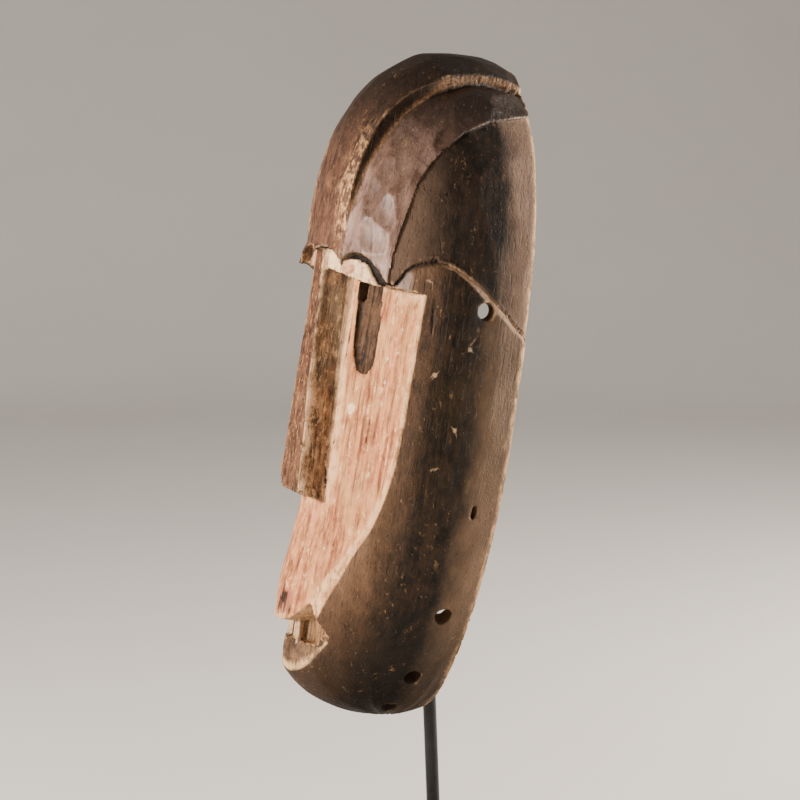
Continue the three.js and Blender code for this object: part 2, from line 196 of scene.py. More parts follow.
def blank(name, form, sides=192, rings=176, halvings=34):
    """A form: a sphere drawn out along the mask, its points moved out from an inner axis."""
    piece = start_piece(name, "uv_sphere", segments=sides, ring_count=rings, radius=1)
    ray = points_of(piece)
    latitude = np.arcsin(np.clip(ray[:, 2], -1, 1)) / (math.pi / 2)
    turn = np.arctan2(ray[:, 1], ray[:, 0])
    straight = 0.4
    along = np.clip(latitude / straight, -1, 1)
    anchor = AXIS_LOW + (along + 1) / 2 * (AXIS_HIGH - AXIS_LOW)
    beyond = np.maximum(0, np.abs(latitude) - straight) / (1 - straight)
    rise = np.sign(latitude) * np.sin(beyond * math.pi / 2)
    reach = np.cos(beyond * math.pi / 2)

    def at(radius):
        x = radius * reach * np.cos(turn)
        return x, AXIS_DEPTH - radius * reach * np.sin(turn), anchor + radius * rise

    low, high = np.zeros(len(ray)), np.full(len(ray), 260.0)
    for _ in range(halvings):
        middle = (low + high) / 2
        x, d, z = at(middle)
        inside = (d > -6) & (fill(form, x, d, z) < 1)
        low, high = np.where(inside, middle, low), np.where(inside, high, middle)
    place_points(piece, to_mesh(*at(low)))
    return piece


def drawn_out(name, outline, shift):
    """An outline's face, extruded by a shift in millimetres."""
    piece = start_piece(name, "circle", vertices=len(outline), fill_type="NGON")
    place_points(piece, to_mesh(*np.array(outline, dtype=float).T))
    x, d, z = shift
    extrude((x * MM, -d * MM, z * MM))
    return face_outwards(piece)


def front_prism(name, outline, near, far):
    return drawn_out(name, [(x, near, z) for x, z in outline], (0, far - near, 0))


def side_prism(name, outline):
    return drawn_out(name, [(-BESIDE, d, z) for d, z in outline], (2 * BESIDE, 0, 0))


def top_prism(name, outline, low, high):
    return drawn_out(name, [(x, d, low) for x, d in outline], (0, 0, high - low))


def front_block(name, half_width, low, top_of, depth_of, columns=80, rows=80):
    """A block in front of a surface that is given as a depth over the front view."""
    piece = start_piece(name, "grid", x_subdivisions=columns, y_subdivisions=rows, size=1)
    flat = points_of(piece)
    x = flat[:, 0] * 2 * half_width
    z = low + (flat[:, 1] + 0.5) * (top_of(x) - low)
    place_points(piece, to_mesh(x, depth_of(x, z), z))
    extrude((0, -0.3, 0))
    shaped = points_of(piece)
    shaped[:, 1] = np.where(shaped[:, 1] < -0.2, -IN_FRONT * MM, shaped[:, 1])
    place_points(piece, shaped)
    return face_outwards(piece)


def wedge(name, corner_of):
    """A box with slanted faces: corner_of gives a corner's x, d, z from whether it is on the
    positive side, at the front and at the top."""
    piece = start_piece(name, "cube", size=1)
    corners = [corner_of(x > 0, y < 0, z > 0) for x, y, z in points_of(piece)]
    place_points(piece, to_mesh(*np.array(corners, dtype=float).T))
    return face_outwards(piece)


def box(name, x0, x1, d0, d1, z0, z1):
    low, high = min(x0, x1), max(x0, x1)
    return wedge(name, lambda positive, front, top: (
        high if positive else low, d1 if front else d0, z1 if top else z0))


def apply_modifier(piece, kind, **settings):
    select_only(piece)
    modifier = piece.modifiers.new(kind.lower(), kind)
    for key, value in settings.items():
        setattr(modifier, key, value)
    bpy.ops.object.modifier_apply(modifier=modifier.name)


def carve(piece, tool, how="DIFFERENCE"):
    apply_modifier(piece, "BOOLEAN", operation=how, solver="MANIFOLD", object=tool)
    bpy.data.objects.remove(tool, do_unlink=True)
    return piece


# Outlines and surfaces of the carving
def mirrored(outline):
    return outline + [(-x, z) for x, z in outline if x > 0][::-1]


def ridge_depth(z):
    return 88 + 3 * (BROW_HEIGHT - z) / 135 + 6 * fade(z, 62, 114)


def cheek_depth(x, z):
    slope = 0.37 + 0.04 * fade(z, 70, 100)
    return ridge_depth(z) - slope * (np.hypot(x, 5) - 5)


def lower_lip_depth(x, z):
    belly = 1.2 * np.sin(math.pi * np.clip((z - 12) / 34, 0, 1))
    return 90 - 0.36 * np.abs(x) + belly - 0.006 * np.maximum(0, 18 - z) ** 2


def brow_ledge(x):
    """The height of the ledge under the brow, which falls a little from the nose outwards."""
    return np.interp(np.abs(x), [0, 7, 11, 20, 29, 36, 41, 47, 60, 95],
                     [254.5, 254, 252.9, 252.8, 252.2, 250.7, 249.4, 248.6, 248.4, 248.2])


def panel_depth(x, z):
    """The pale panels in the niches, nearly level with the brow by the nose and deeper outwards."""
    return np.interp(np.abs(x), [0, 8, 28, 32, 36, 40, 46, 52, 58, 64, 105],
                     [99.2, 99.2, 98.4, 96.2, 93.8, 91.3, 87.2, 82.4, 77, 70, 62]) + 0 * z


def surface_depth(form, x, z):
    half = np.maximum(half_width_at(form, z), 1e-6)
    return FULLEST_DEPTH + depth_at(form, z) * cap(np.abs(x) / half, form["section"])


def eased_crest(x, z):
    """Where the crest's edge on the left side sinks to the lobe as it comes down to the brow."""
    crest, lobe = surface_depth(CREST, x, z), surface_depth(LOBE, x, z) + 0.5
    ease = blend_in(x, 17, 27.5) * fade(z, 256, 292)
    return crest - (crest - lobe) * ease + 4 * fade(ease, 0, 0.04)


OVER_NOSE = [(0, 262.8), (1.5, 263.8), (4.5, 265.2), (9, 266.1), (14, 266.1), (19, 265.2), (23, 263.6),
             (26.2, 261), (27.8, 258.2)]
OVER_NOSE_FAR = [(-29, 252.6), (-26.4, 251.6), (-23.6, 253.2), (-21.6, 257.6), (-18.5, 261.8), (-14, 264.6),
                 (-9, 265.3), (-4.5, 264.8), (-1.5, 263.6)]
OVER_EYE = [(28.8, 258), (30.2, 261.2), (33, 263.6), (37.5, 265.2), (43, 265.3), (48.5, 262.7),
            (53.7, 257.4), (58.4, 251.4), (60.5, 249)]
UNDER_BROW = (OVER_NOSE + OVER_EYE + [(BESIDE, BROW_HEIGHT - 0.6), (BESIDE, 200), (-BESIDE, 200),
              (-BESIDE, BROW_HEIGHT - 0.6)] + [(-x, z) for x, z in OVER_EYE[::-1]] + OVER_NOSE_FAR)
TEMPLE_APEX = (58, 268)
TEMPLE_BACK_SLOPE = [(49, 267), (40.5, 262.8), (29.5, 255.4), (16.7, 245), (BEHIND, 221)]
TEMPLE_FRONT_CURVE = [(77.5, 248.5), (76.6, 252), (75.2, 255.6), (73.4, 259.6), (70.4, 263), (65.9, 265.6),
                      (61, 267.4)]
TEMPLE_EDGE = [*TEMPLE_FRONT_CURVE, TEMPLE_APEX, *TEMPLE_BACK_SLOPE]
CROWN_SIDE = [(IN_FRONT, BROW_HEIGHT - 1), *TEMPLE_EDGE, (BEHIND, ABOVE), (IN_FRONT, ABOVE)]
TEMPLE_SIDE = [(d, z + 0.3) for d, z in [TEMPLE_APEX, *TEMPLE_BACK_SLOPE, (BEHIND, ABOVE), (60, ABOVE)]]
LOBE_EDGE = [(81, 256), (80.4, 266), (78.3, 279), (75.4, 291), (70.7, 308), (64.6, 320), (56.6, 330),
             (44.8, 341), (29, 349), (BEHIND, 358)]
LOBE_SIDE = [(81, 200), *LOBE_EDGE, (BEHIND, ABOVE), (IN_FRONT, ABOVE), (IN_FRONT, 200)]
CREST_TOP = [(29, IN_FRONT), (29, 60), (21, -10), (-21, -10), (-29, 60), (-29, IN_FRONT)]
MOUTH = mirrored([(0, 47.5), (5, 47), (11, 49), (19, 54.5), (26.5, 62), (30, 57.5), (33, 49.5),
                  (35, 43.5), (30, 38), (18, 37)])
TIE_HOLES = [(80, 27.9, 243.3, 9.6, 1, 0), (76, 16.6, 129, 3.2, 2.6, 0.12), (58, 18.6, 66, 9.6, 1, 0.6),
             (38, 23.6, 25, 9.6, 1, 0.9), (18, 27, 2, 9.6, 1, 1.3)]


def nose_corner(positive, front, top):
    half = (6 if front else 20) if top else (17 if front else 22.5)
    bottom = 123 if front else 117
    return (half if positive else -half), (102 if front else 70), (264 if top else bottom)


EYE_OUTLINE = [(19.6, 256), (19.7, 246), (20.3, 228), (21.8, 214), (23.2, 206), (26.4, 199.4), (31.2, 196),
               (35.8, 197.6), (39.2, 202.6), (40.6, 211), (40.5, 226), (38.6, 246), (38.4, 256)]


def crest_half_at(d):
    """Half the crest's width, which narrows towards the rim."""
    return np.interp(d, [-10, 60], [21, 29])


def eye_floor_depth(x, z):
    """The floor of the eye slot, which rises to the cheek at its rounded lower end."""
    sunk = np.interp(z, [190, 195.5, 198, 202, 208, 226, 256], [-4, -0.2, 1.6, 2.9, 3.6, 3.7, 3.8])
    return cheek_depth(x, z) - sunk


def eye_slot(side):
    slot = front_block("eye_floor", 60, 188, lambda x: BROW_HEIGHT + 1 + 0 * x, eye_floor_depth)
    pocket = [(16.8, 249), (21, 249), (20, 238), (17.6, 237.5)]
    hole = [(18.6, 249), (22, 249), (20.6, 238), (18.8, 237.5)]
    for name, outline, back_end, front_end, how in (
            ("eye_outline", EYE_OUTLINE, 50, CUTTER_FRONT, "INTERSECT"),
            ("eye_pocket", pocket, 74, 81.8, "UNION"),
            ("eye_hole", hole, 50, 81, "UNION")):
        outline = [(side * x, z) for x, z in outline]
        carve(slot, front_prism(name, outline, back_end, front_end), how)
    return slot


def tie_hole(side, x, d, z, diameter, stretch, drop):
    piece = start_piece("tie_hole", "cylinder", vertices=40, radius=diameter / 2 * MM, depth=60 * MM)
    tall = Matrix.Diagonal((1, 1, stretch, 1))
    axis = Vector((side * math.cos(drop), 0, -math.sin(drop)))
    turn = Vector((0, 0, 1)).rotation_difference(axis).to_matrix().to_4x4()
    on_side = Vector((side * x, -d, z)) * MM
    piece.data.transform(Matrix.Translation(on_side) @ tall @ turn)
    return piece


def carve_mask():
    mask = blank("mask_carving", TEMPLE)
    lobes = carve(blank("lobes", LOBE), side_prism("lobe_edge", LOBE_SIDE), "INTERSECT")
    crest = carve(blank("crest", CREST), top_prism("crest_edge", CREST_TOP, 200, ABOVE), "INTERSECT")
    carve(crest, front_block("crest_easing", 60, 236, lambda x: 310 + 0 * x, eased_crest, columns=100))
    carve(mask, lobes, "UNION")
    carve(mask, crest, "UNION")
    carve(mask, front_block("below_brow", BESIDE, 200, brow_ledge, lambda x, z: 60 + 0 * x))
    niches = front_block("niches", BESIDE + 5, 190, lambda x: 280 + 0 * x, panel_depth, columns=160)
    carve(mask, carve(niches, front_prism("under_brow", UNDER_BROW, 50, CUTTER_FRONT), "INTERSECT"))
    carve(mask, side_prism("crown_edge", CROWN_SIDE), "INTERSECT")
    face = blank("face", FACE)
    carve(face, box("face_limits", -BESIDE, BESIDE, BEHIND, IN_FRONT, BELOW, 270), "INTERSECT")
    carve(face, side_prism("temple_edge", TEMPLE_SIDE))
    carve(face, front_block("cheek_cut", 95, 40, brow_ledge, cheek_depth))
    carve(face, front_block("lip_cut", 60, BELOW, lambda x: 44 + 0 * x, lower_lip_depth))
    nose = carve(wedge("nose", nose_corner), blank("nose_limits", CREST), "INTERSECT")
    carve(face, nose, "UNION")
    carve(mask, face, "UNION")
    carve(mask, front_prism("mouth", MOUTH, 80, IN_FRONT))
    for side in (-1, 1):
        carve(mask, box("tooth", side * 1.2, side * 9.5, 75, 87, 35, 50), "UNION")
    carve(mask, blank("hollow", HOLLOW))
    for side in (-1, 1):
        carve(mask, eye_slot(side))
        for hole in TIE_HOLES:
            carve(mask, tie_hole(side, *hole))
    carve(mask, box("behind_rim", -BESIDE, BESIDE, -IN_FRONT, 0, 2 * BELOW, ABOVE))
    return mask


# Hand-work on the surface: tool marks, waviness, worn edges, cracks and chips
def scatter(cells, seed):
    """A fixed random number from 0 to 1 for each whole-numbered cell."""
    primes = (73856093, 19349663, 83492791)
    mixed = np.full(len(cells), seed * 2654435761 % 4294967296, dtype=np.uint64)
    for column in range(cells.shape[1]):
        mixed ^= cells[:, column].astype(np.int64).astype(np.uint64) * np.uint64(primes[column])
    mixed &= np.uint64(0xFFFFFFFF)
    for shift in (15, 13):
        mixed ^= mixed >> np.uint64(shift)
        mixed = (mixed * np.uint64(2246822519)) & np.uint64(0xFFFFFFFF)
    mixed ^= mixed >> np.uint64(16)
    return (mixed & np.uint64(0xFFFFFF)).astype(float) / 0xFFFFFF


def waves(points, seed):
    """Smooth noise from -1 to 1 over points that are given in cells."""
    base = np.floor(points).astype(np.int64)
    inner = points - base
    inner = inner * inner * (3 - 2 * inner)
    total = np.zeros(len(points))
    for corner in range(2 ** points.shape[1]):
        offset = np.array([(corner >> axis) & 1 for axis in range(points.shape[1])])
        weight = np.prod(np.where(offset, inner, 1 - inner), axis=1)
        total += weight * scatter(base + offset, seed)
    return total * 2 - 1


def rough_waves(points, seed, octaves=3):
    return sum(waves(points * 2 ** i, seed + i) * 0.5 ** i for i in range(octaves))


def tool_marks(u, v, width, length, seed):
    """Cells of a hand tool's cuts, width by length. Gives the squared distance to the nearest cut's
    middle, 1 at half a width away, a random number for each cut, and how far its tilt lifts a point."""
    grid = np.stack([u / width, v / length], axis=1)
    home = np.floor(grid).astype(np.int64)
    nearest = np.full(len(u), 9.0)
    mark, tilt = np.zeros(len(u)), np.zeros(len(u))
    for step in ((du, dv) for du in (-1, 0, 1) for dv in (-1, 0, 1)):
        cell = home + np.array(step)
        moved = np.stack([scatter(cell, seed), scatter(cell, seed + 1)], axis=1) - 0.5
        offset = grid - (cell + 0.5 + 0.72 * moved)
        gap = (offset ** 2).sum(axis=1)
        closer = gap < nearest
        lift = width * (offset[:, 0] * (scatter(cell, seed + 3) * 2 - 1)
                        + 0.8 * offset[:, 1] * (scatter(cell, seed + 4) * 2 - 1))
        mark = np.where(closer, scatter(cell, seed + 2), mark)
        tilt = np.where(closer, lift, tilt)
        nearest = np.where(closer, gap, nearest)
    return np.minimum(nearest * 4, 2.2), mark, tilt


def inside_outline(outline, a, b):
    inside = np.zeros(len(a), dtype=bool)
    for (a0, b0), (a1, b1) in zip(outline, outline[1:] + outline[:1]):
        if b0 == b1:
            continue
        crosses = ((b0 > b) != (b1 > b)) & (a < (a1 - a0) * (b - b0) / (b1 - b0) + a0)
        inside ^= crosses
    return inside


def line_gap(line, a, b):
    """Distance to a line of points, and how far along it the nearest place is."""
    best, place, run = np.full(len(a), 1e9), np.zeros(len(a)), 0.0
    for (a0, b0), (a1, b1) in zip(line, line[1:]):
        long = math.hypot(a1 - a0, b1 - b0)
        t = np.clip(((a - a0) * (a1 - a0) + (b - b0) * (b1 - b0)) / long ** 2, 0, 1)
        gap = np.hypot(a - a0 - t * (a1 - a0), b - b0 - t * (b1 - b0))
        place = np.where(gap < best, run + t * long, place)
        best = np.minimum(best, gap)
        run += long
    return best, place


def near(value, reach, soft=0.5):
    return fade(np.abs(value), reach, reach + soft)


class Surface:
    """The points of a remeshed carving, with where each one is on the mask."""

    def __init__(self, piece):
        self.piece = piece
        self.points = points_of(piece)
        self.x = self.points[:, 0] / MM
        self.d = -self.points[:, 1] / MM
        self.z = self.points[:, 2] / MM
        self.side = np.abs(self.x)
        self.home = np.stack([self.x, self.d, self.z], axis=1)
        ends = np.empty(len(piece.data.edges) * 2, dtype=np.int32)
        piece.data.edges.foreach_get("vertices", ends)
        self.ends = ends.reshape(-1, 2)
        self.valence = np.bincount(ends, minlength=len(self.points)).astype(float)
        self.detail = np.zeros(len(self.points))
        self.read_normals()

    def read_normals(self):
        flat = np.empty(len(self.points) * 3)
        self.piece.data.vertices.foreach_get("normal", flat)
        self.normal = flat.reshape(-1, 3)

    def waves(self, size, seed):
        """Smooth noise from -1 to 1 whose patches are size millimetres across."""
        return waves(self.home / size, seed)

    def rough_waves(self, size, seed):
        return rough_waves(self.home / size, seed)

    def spread(self, values):
        """The mean of each point's neighbours."""
        first, second = self.ends.T
        total = (np.bincount(first, values[second], len(values))
                 + np.bincount(second, values[first], len(values)))
        return total / self.valence

    def mean_points(self):
        return np.stack([self.spread(self.points[:, axis]) for axis in range(3)], axis=1)

    def relax(self, amount):
        self.place(self.points + amount * (self.mean_points() - self.points))

    def bulge(self, rounds=3):
        """How sharply the surface bends outwards, in millimetres against its neighbours' mean."""
        bend = ((self.points - self.mean_points()) * self.normal).sum(axis=1) / MM
        for _ in range(rounds):
            bend = (bend + self.spread(bend)) / 2
        return bend

    def place(self, points):
        self.points = points
        place_points(self.piece, points)
        self.read_normals()

    def push_out(self, move):
        """Moves each point along its normal, by millimetres."""
        self.place(self.points + self.normal * (move * MM)[:, None])

    def store(self, name, values, crisp=0.0):
        """Keeps a mark on the mesh. Crisp says how much its edges matter when the mesh is thinned."""
        values = np.clip(values, 0, 1)
        attribute = self.piece.data.attributes.new(name, "FLOAT", "POINT")
        attribute.data.foreach_set("value", values.astype(np.float32))
        if crisp:
            change = crisp * np.abs(values - self.spread(values))
            self.detail = np.maximum(self.detail, change * (1 - self.hidden))

    def thin_out(self, triangles, kept_points):
        """Thins the mesh, but keeps the points where the marks change most."""
        least = np.partition(self.detail, -kept_points)[-kept_points]
        plain = self.piece.vertex_groups.new(name="plain_places")
        plain.add(np.flatnonzero(self.detail < least).tolist(), 1.0, "REPLACE")
        apply_modifier(self.piece, "DECIMATE", ratio=triangles / (2 * len(self.piece.data.polygons)),
                       vertex_group=plain.name, vertex_group_factor=1.0)
        self.piece.vertex_groups.clear()


class Zones:
    """How much each part of the carving claims each point, from 0 to 1."""

    def __init__(self, s):
        x, d, z, side = s.x, s.d, s.z, s.side
        gap = {name: depth_inside(form, x, d, z) for name, form in (
            ("crest", CREST), ("lobe", LOBE), ("temple", TEMPLE), ("face", FACE), ("hollow", HOLLOW))}
        self.gap = gap
        rearward = s.normal[:, 1]
        self.rim = near(d, 0.3, 0.4) * (rearward > 0.7)
        self.inner = blend_in(gap["hollow"], -1.4, -0.5) * (1 - self.rim)
        outer = (1 - self.inner) * (1 - self.rim)
        crest_half = crest_half_at(d)
        high = z > BROW_HEIGHT - 0.8
        above_ledge = z > brow_ledge(x) - 0.7
        in_lobe = inside_outline(LOBE_SIDE, d, z)
        in_crown = inside_outline(CROWN_SIDE, d, z)
        cheek_gap = d - cheek_depth(x, z)
        eased = near(d - eased_crest(x, z), 0.9) * (x > 16) * (z < 294)
        self.crest = outer * np.maximum(near(gap["crest"], 0.7), eased) * (side < crest_half + 0.6) * high
        self.crest_wall = outer * near(side - crest_half, 0.6) * (gap["crest"] > 0.4)
        self.crest_wall *= (gap["lobe"] < 0.4) * high
        self.crest_wall *= 1 - self.crest
        self.lobe = outer * near(gap["lobe"], 0.7) * in_lobe * (side > crest_half - 0.6) * high
        self.lobe *= (1 - self.crest) * (1 - self.crest_wall)
        under_brow = inside_outline(UNDER_BROW, x, z) & (d > 59)
        self.temple = outer * near(gap["temple"], 0.7) * in_crown * (1 - self.lobe) * (1 - self.crest)
        self.temple *= ~(under_brow & (side < 60))
        self.soffit = outer * (s.normal[:, 2] < -0.25) * high * (gap["face"] < -0.4) * (d > 60) * (z < 270)
        panel_gap = np.minimum(np.abs(d - panel_depth(x, z)), np.abs(gap["face"]))
        self.panel = outer * near(panel_gap, 1.0) * under_brow * above_ledge * (1 - self.soffit)
        self.panel *= (1 - self.temple) * (side < 62)
        in_eye = (side > 19.0) & (side < 41.2) & (z > 194) & (z < BROW_HEIGHT + 1.8)
        self.eye = outer * in_eye * (cheek_gap < -1.0) * (d > 60) * (1 - self.panel)
        in_mouth = inside_outline(MOUTH, x, z)
        in_tooth = (side < 10.3) & (z > 34) & (z < 51) & (d > 80.3) & (d < 87.8)
        self.tooth = outer * in_tooth * blend_in(-s.normal[:, 1], 0.4, 0.7)
        mouth_wall, _ = line_gap(MOUTH + MOUTH[:1], x, z)
        self.mouth = outer * (in_mouth | (mouth_wall < 0.7)) * (cheek_gap < -0.9) * (d > 78)
        self.mouth *= 1 - self.tooth
        self.nose = outer * (side < 23.5) * (z > 115.5) * (z < 264.5) * (cheek_gap > 0.3)
        self.nose *= 1 - self.panel
        self.nose *= 1 - self.crest
        self.nose_front = self.nose * blend_in(-s.normal[:, 1], 0.75, 0.9)
        self.nose_side = self.nose * (1 - self.nose_front)
        self.cheek = outer * near(cheek_gap, 0.8) * (1 - above_ledge) * (z > 41) * (1 - self.nose)
        self.cheek *= (1 - self.eye) * (1 - self.mouth)
        self.lip = outer * near(d - lower_lip_depth(x, z), 0.8) * (z < 41) * (d > 60)
        self.face_side = outer * near(gap["face"], 1.0) * (1 - self.cheek) * (1 - self.lip) * (1 - self.panel)
        self.face_side *= (1 - self.nose) * (1 - self.temple) * (1 - self.lobe)
        self.outer = outer
        self.cheek_gap = cheek_gap


def cut_facets(s, zones, move):
    """Adds the dished cuts of the gouge to the moves. Gives each cut's random number."""
    x, d, z, side = s.x, s.d, s.z, s.side
    sign = np.where(x > 0, 1, -1)
    turn = np.arctan2(d - 20, side) * 74
    rise = np.where(z < 262, z, 262 + np.arctan2(z - 262, np.hypot(side, d - 20)) * 96)
    crest_run = np.where(z < 262, z, 262 + np.arctan2(z - 262, d - 20) * 92)
    lobe_gap, _ = line_gap(LOBE_EDGE, d, z)

    dish, lobe_mark, _ = tool_marks(1.2 * x + sign * 400 + 0.12 * crest_run, crest_run, 10.5, 21, 11)
    move += zones.lobe * 1.0 * (dish - 0.7) * blend_in(lobe_gap, 0, 5)
    dish, crest_mark, _ = tool_marks(x + 300, crest_run, 12, 19, 21)
    move += zones.crest * 0.5 * (dish - 0.7)
    dish, temple_mark, _ = tool_marks(d + sign * 300, z, 16, 30, 31)
    move += zones.temple * (0.36 * (dish - 0.8) + 0.7 * blend_in(d, 12, 26))
    dish, side_mark, _ = tool_marks(turn + sign * 500, rise, 19, 44, 41)
    move += zones.face_side * 0.4 * (dish - 0.8)
    dish, inner_mark, tilt = tool_marks(turn * 0.9 + sign * 600, rise, 12, 23, 51)
    move += zones.inner * (0.85 * (dish - 1.1) + 0.09 * tilt)

    hatch = np.abs(((crest_run + 0.4 * s.waves(5, 61)) / 2.6) % 1 - 0.5) * 2
    move += zones.crest_wall * (0.34 * (hatch - 0.5) * fade(d, 50, 62) + 0.15 * s.waves(3, 62))
    beside_crest = np.maximum(side - crest_half_at(d), 0)
    move -= 3.4 * zones.lobe * fade(d, 44, 70) * np.exp(-(beside_crest / 6.5) ** 2)
    return (zones.lobe * lobe_mark + zones.crest * crest_mark + zones.temple * temple_mark
            + zones.face_side * side_mark + zones.inner * inner_mark)


def cut_grain(s, zones, move):
    """Adds the finer marks along the wood's grain to the moves."""
    x, d, z, side = s.x, s.d, s.z, s.side
    sign = np.where(x > 0, 1, -1)
    flute = np.cos(2 * math.pi * (x + 1.4 * s.waves((9, 9, 40), 71)) / 9.5)
    move += zones.cheek * (0.14 * flute + 0.22 * s.waves((3.2, 3.2, 30), 72))
    move += zones.cheek * 0.35 * s.waves((7, 7, 12), 73) * (z < 120)
    plane_marks = waves(np.stack([d / 4.2, z / 40, sign], axis=1), 81)
    move += zones.nose_side * (0.35 * plane_marks + 0.3 * s.waves((6, 6, 9), 83))
    move += zones.nose_front * 0.25 * s.waves((3, 3, 20), 82)
    fan = np.arctan2(side - 31, 214 - z)
    chisel = waves(np.stack([fan * 6, z / 30, sign], axis=1), 91)
    upright = s.waves((2.4, 9, 22), 92)
    move += zones.eye * (np.where(z < 212, 0.45 * chisel, 0.3 * upright) + 0.3 * s.waves(6, 93))
    move += zones.mouth * 0.4 * s.waves((2.4, 4, 14), 94) + zones.tooth * 0.15 * s.waves(3, 95)
    fibre = waves(np.stack([x / 2.2, z / 12, sign], axis=1), 96)
    sunk_lip = 1.2 * blend_in(side, 4, 20) * fade(side, 28, 35)
    move += zones.lip * (0.08 * fibre + 0.3 * s.waves(6, 99) - sunk_lip)
    move += zones.soffit * 0.3 * s.waves((3, 6, 3), 97)
    move += zones.panel * 0.3 * s.waves(5, 98)
    move -= 2.2 * np.exp(-((x + 26) ** 2 / 60 + (z - 253) ** 2 / 50)) * zones.crest * (x < 0)


def carve_by_hand(s, zones):
    """Moves the points along their normals by the marks of hand tools. Gives the bevel along the
    temple's edge, each cut's random number and the groove under the arch over the eye."""
    d, z, side = s.d, s.z, s.side
    move = (0.45 * s.waves(46, 3) + 0.2 * s.waves(17, 4) - 0.3) * zones.outer
    facet = cut_facets(s, zones, move)
    cut_grain(s, zones, move)

    shade_from = np.interp(z, [249, 254.2, 260, 261.4], [50.4, 46.6, 43, 38])
    shade_over = np.interp(side, [28, 33, 37.5, 60], [259.2, 261.2, 261.6, 261.6])
    shade = np.maximum(blend_in(side - shade_from, -0.3, 1.4), blend_in(z - shade_over, -0.3, 1.0))
    under_arch = zones.panel * shade * (side > 28.5)
    move -= 2.1 * under_arch

    arch_gap, arch_run = line_gap(TEMPLE_EDGE, d, z)
    width = np.interp(arch_run, [0, 8, 26, 40, 52, 70, 88, 104], [1.2, 2.4, 3.2, 3.0, 3.6, 4.6, 4.4, 2.6])
    width = width * (1 + 0.16 * s.waves(7, 101))
    bevel = zones.face_side * blend_in(1 - arch_gap / width, -0.1, 0.12)
    sink = np.interp(d, [58, 70], [TEMPLE_SINK * 0.95, 1.3])
    move -= zones.face_side * sink * np.clip(1 - arch_gap / width, 0, 1)
    s.push_out(move)
    return bevel, facet, under_arch


# Larger chips: x, d, z, size and depth
CHIPS = [(-17, 102, 123, 4.7, 2.4), (19, 3, 376, 3.7, 1.3), (17, 102, 124, 3.5, 1.0),
         (-27.5, 103, 254, 4.0, 1.2), (60.5, 81, 249, 2.0, 0.5), (9, 100, 61, 3.0, 0.8)]


def wear_edges(s, zones, true_edges):
    """Softens and chips the edges that stand out. Gives how worn and how hollow each point is."""
    bend = s.bulge()
    sharp = blend_in(bend, 0.025, 0.09)
    patchy = blend_in(s.rough_waves(9, 111), -0.35, 0.6)
    for _ in range(3):
        s.points += ((0.05 + 0.3 * patchy) * sharp)[:, None] * (s.mean_points() - s.points)
    chips = blend_in(s.rough_waves((2.6, 2.6, 4.5), 121), 0.35, 0.75)
    crumbs = blend_in(s.rough_waves(1.9, 131), 0.1, 0.6)
    lip_edge = near(s.d - lower_lip_depth(s.x, s.z), 1.6) * (s.z < 40) * (s.side < 37)
    depth = 0.8 * sharp * chips + 0.8 * sharp * crumbs * lip_edge
    for x, d, z, size, deep in CHIPS:
        depth += deep * np.exp(-((s.x - x) ** 2 + (s.d - d) ** 2 + (s.z - z) ** 2) / size ** 2)
    s.push_out(-depth)
    worn = np.clip(sharp * (0.15 + 0.85 * patchy) + chips * sharp, 0, 1) * true_edges
    nose_edge = near(s.side - np.interp(s.z, [123, 264], [16.6, 5.6]), 0.7, 0.8)
    nose_edge = zones.nose * nose_edge * (s.d > 92)
    worn = np.maximum(worn, nose_edge * (0.35 + 0.65 * patchy))
    return worn, blend_in(-bend, 0.012, 0.05)


def spot_at(s, x, d, z, reach, seed, side=1):
    """A ragged spot about a place on the mask's left side, or on its right, 1 in its middle."""
    gap = np.sqrt(((s.home - (side * x, d, z)) ** 2).sum(axis=1))
    return fade(gap * (1 + 0.3 * s.waves(reach * 0.6, seed)), reach * 0.75, reach)


def streak(s, low, high, width, seed):
    """A ragged line on the mask from one place to another."""
    low, high = np.array(low, dtype=float), np.array(high, dtype=float)
    run = high - low
    t = np.clip(((s.home - low) @ run) / (run @ run), 0, 1)
    gap = np.sqrt(((s.home - low - t[:, None] * run) ** 2).sum(axis=1))
    taper = 0.35 + 0.65 * np.sin(math.pi * np.clip(t, 0.02, 0.98))
    return fade(gap + 0.35 * s.waves(2, seed), width * taper * 0.6, width * taper * 1.25)


def streaks(s, lines, seed):
    """The strongest of a list of lines at each point, each line with a seed of its own."""
    strongest = np.zeros(len(s.x))
    for number, line in enumerate(lines):
        strongest = np.maximum(strongest, streak(s, *line, seed + number))
    return strongest


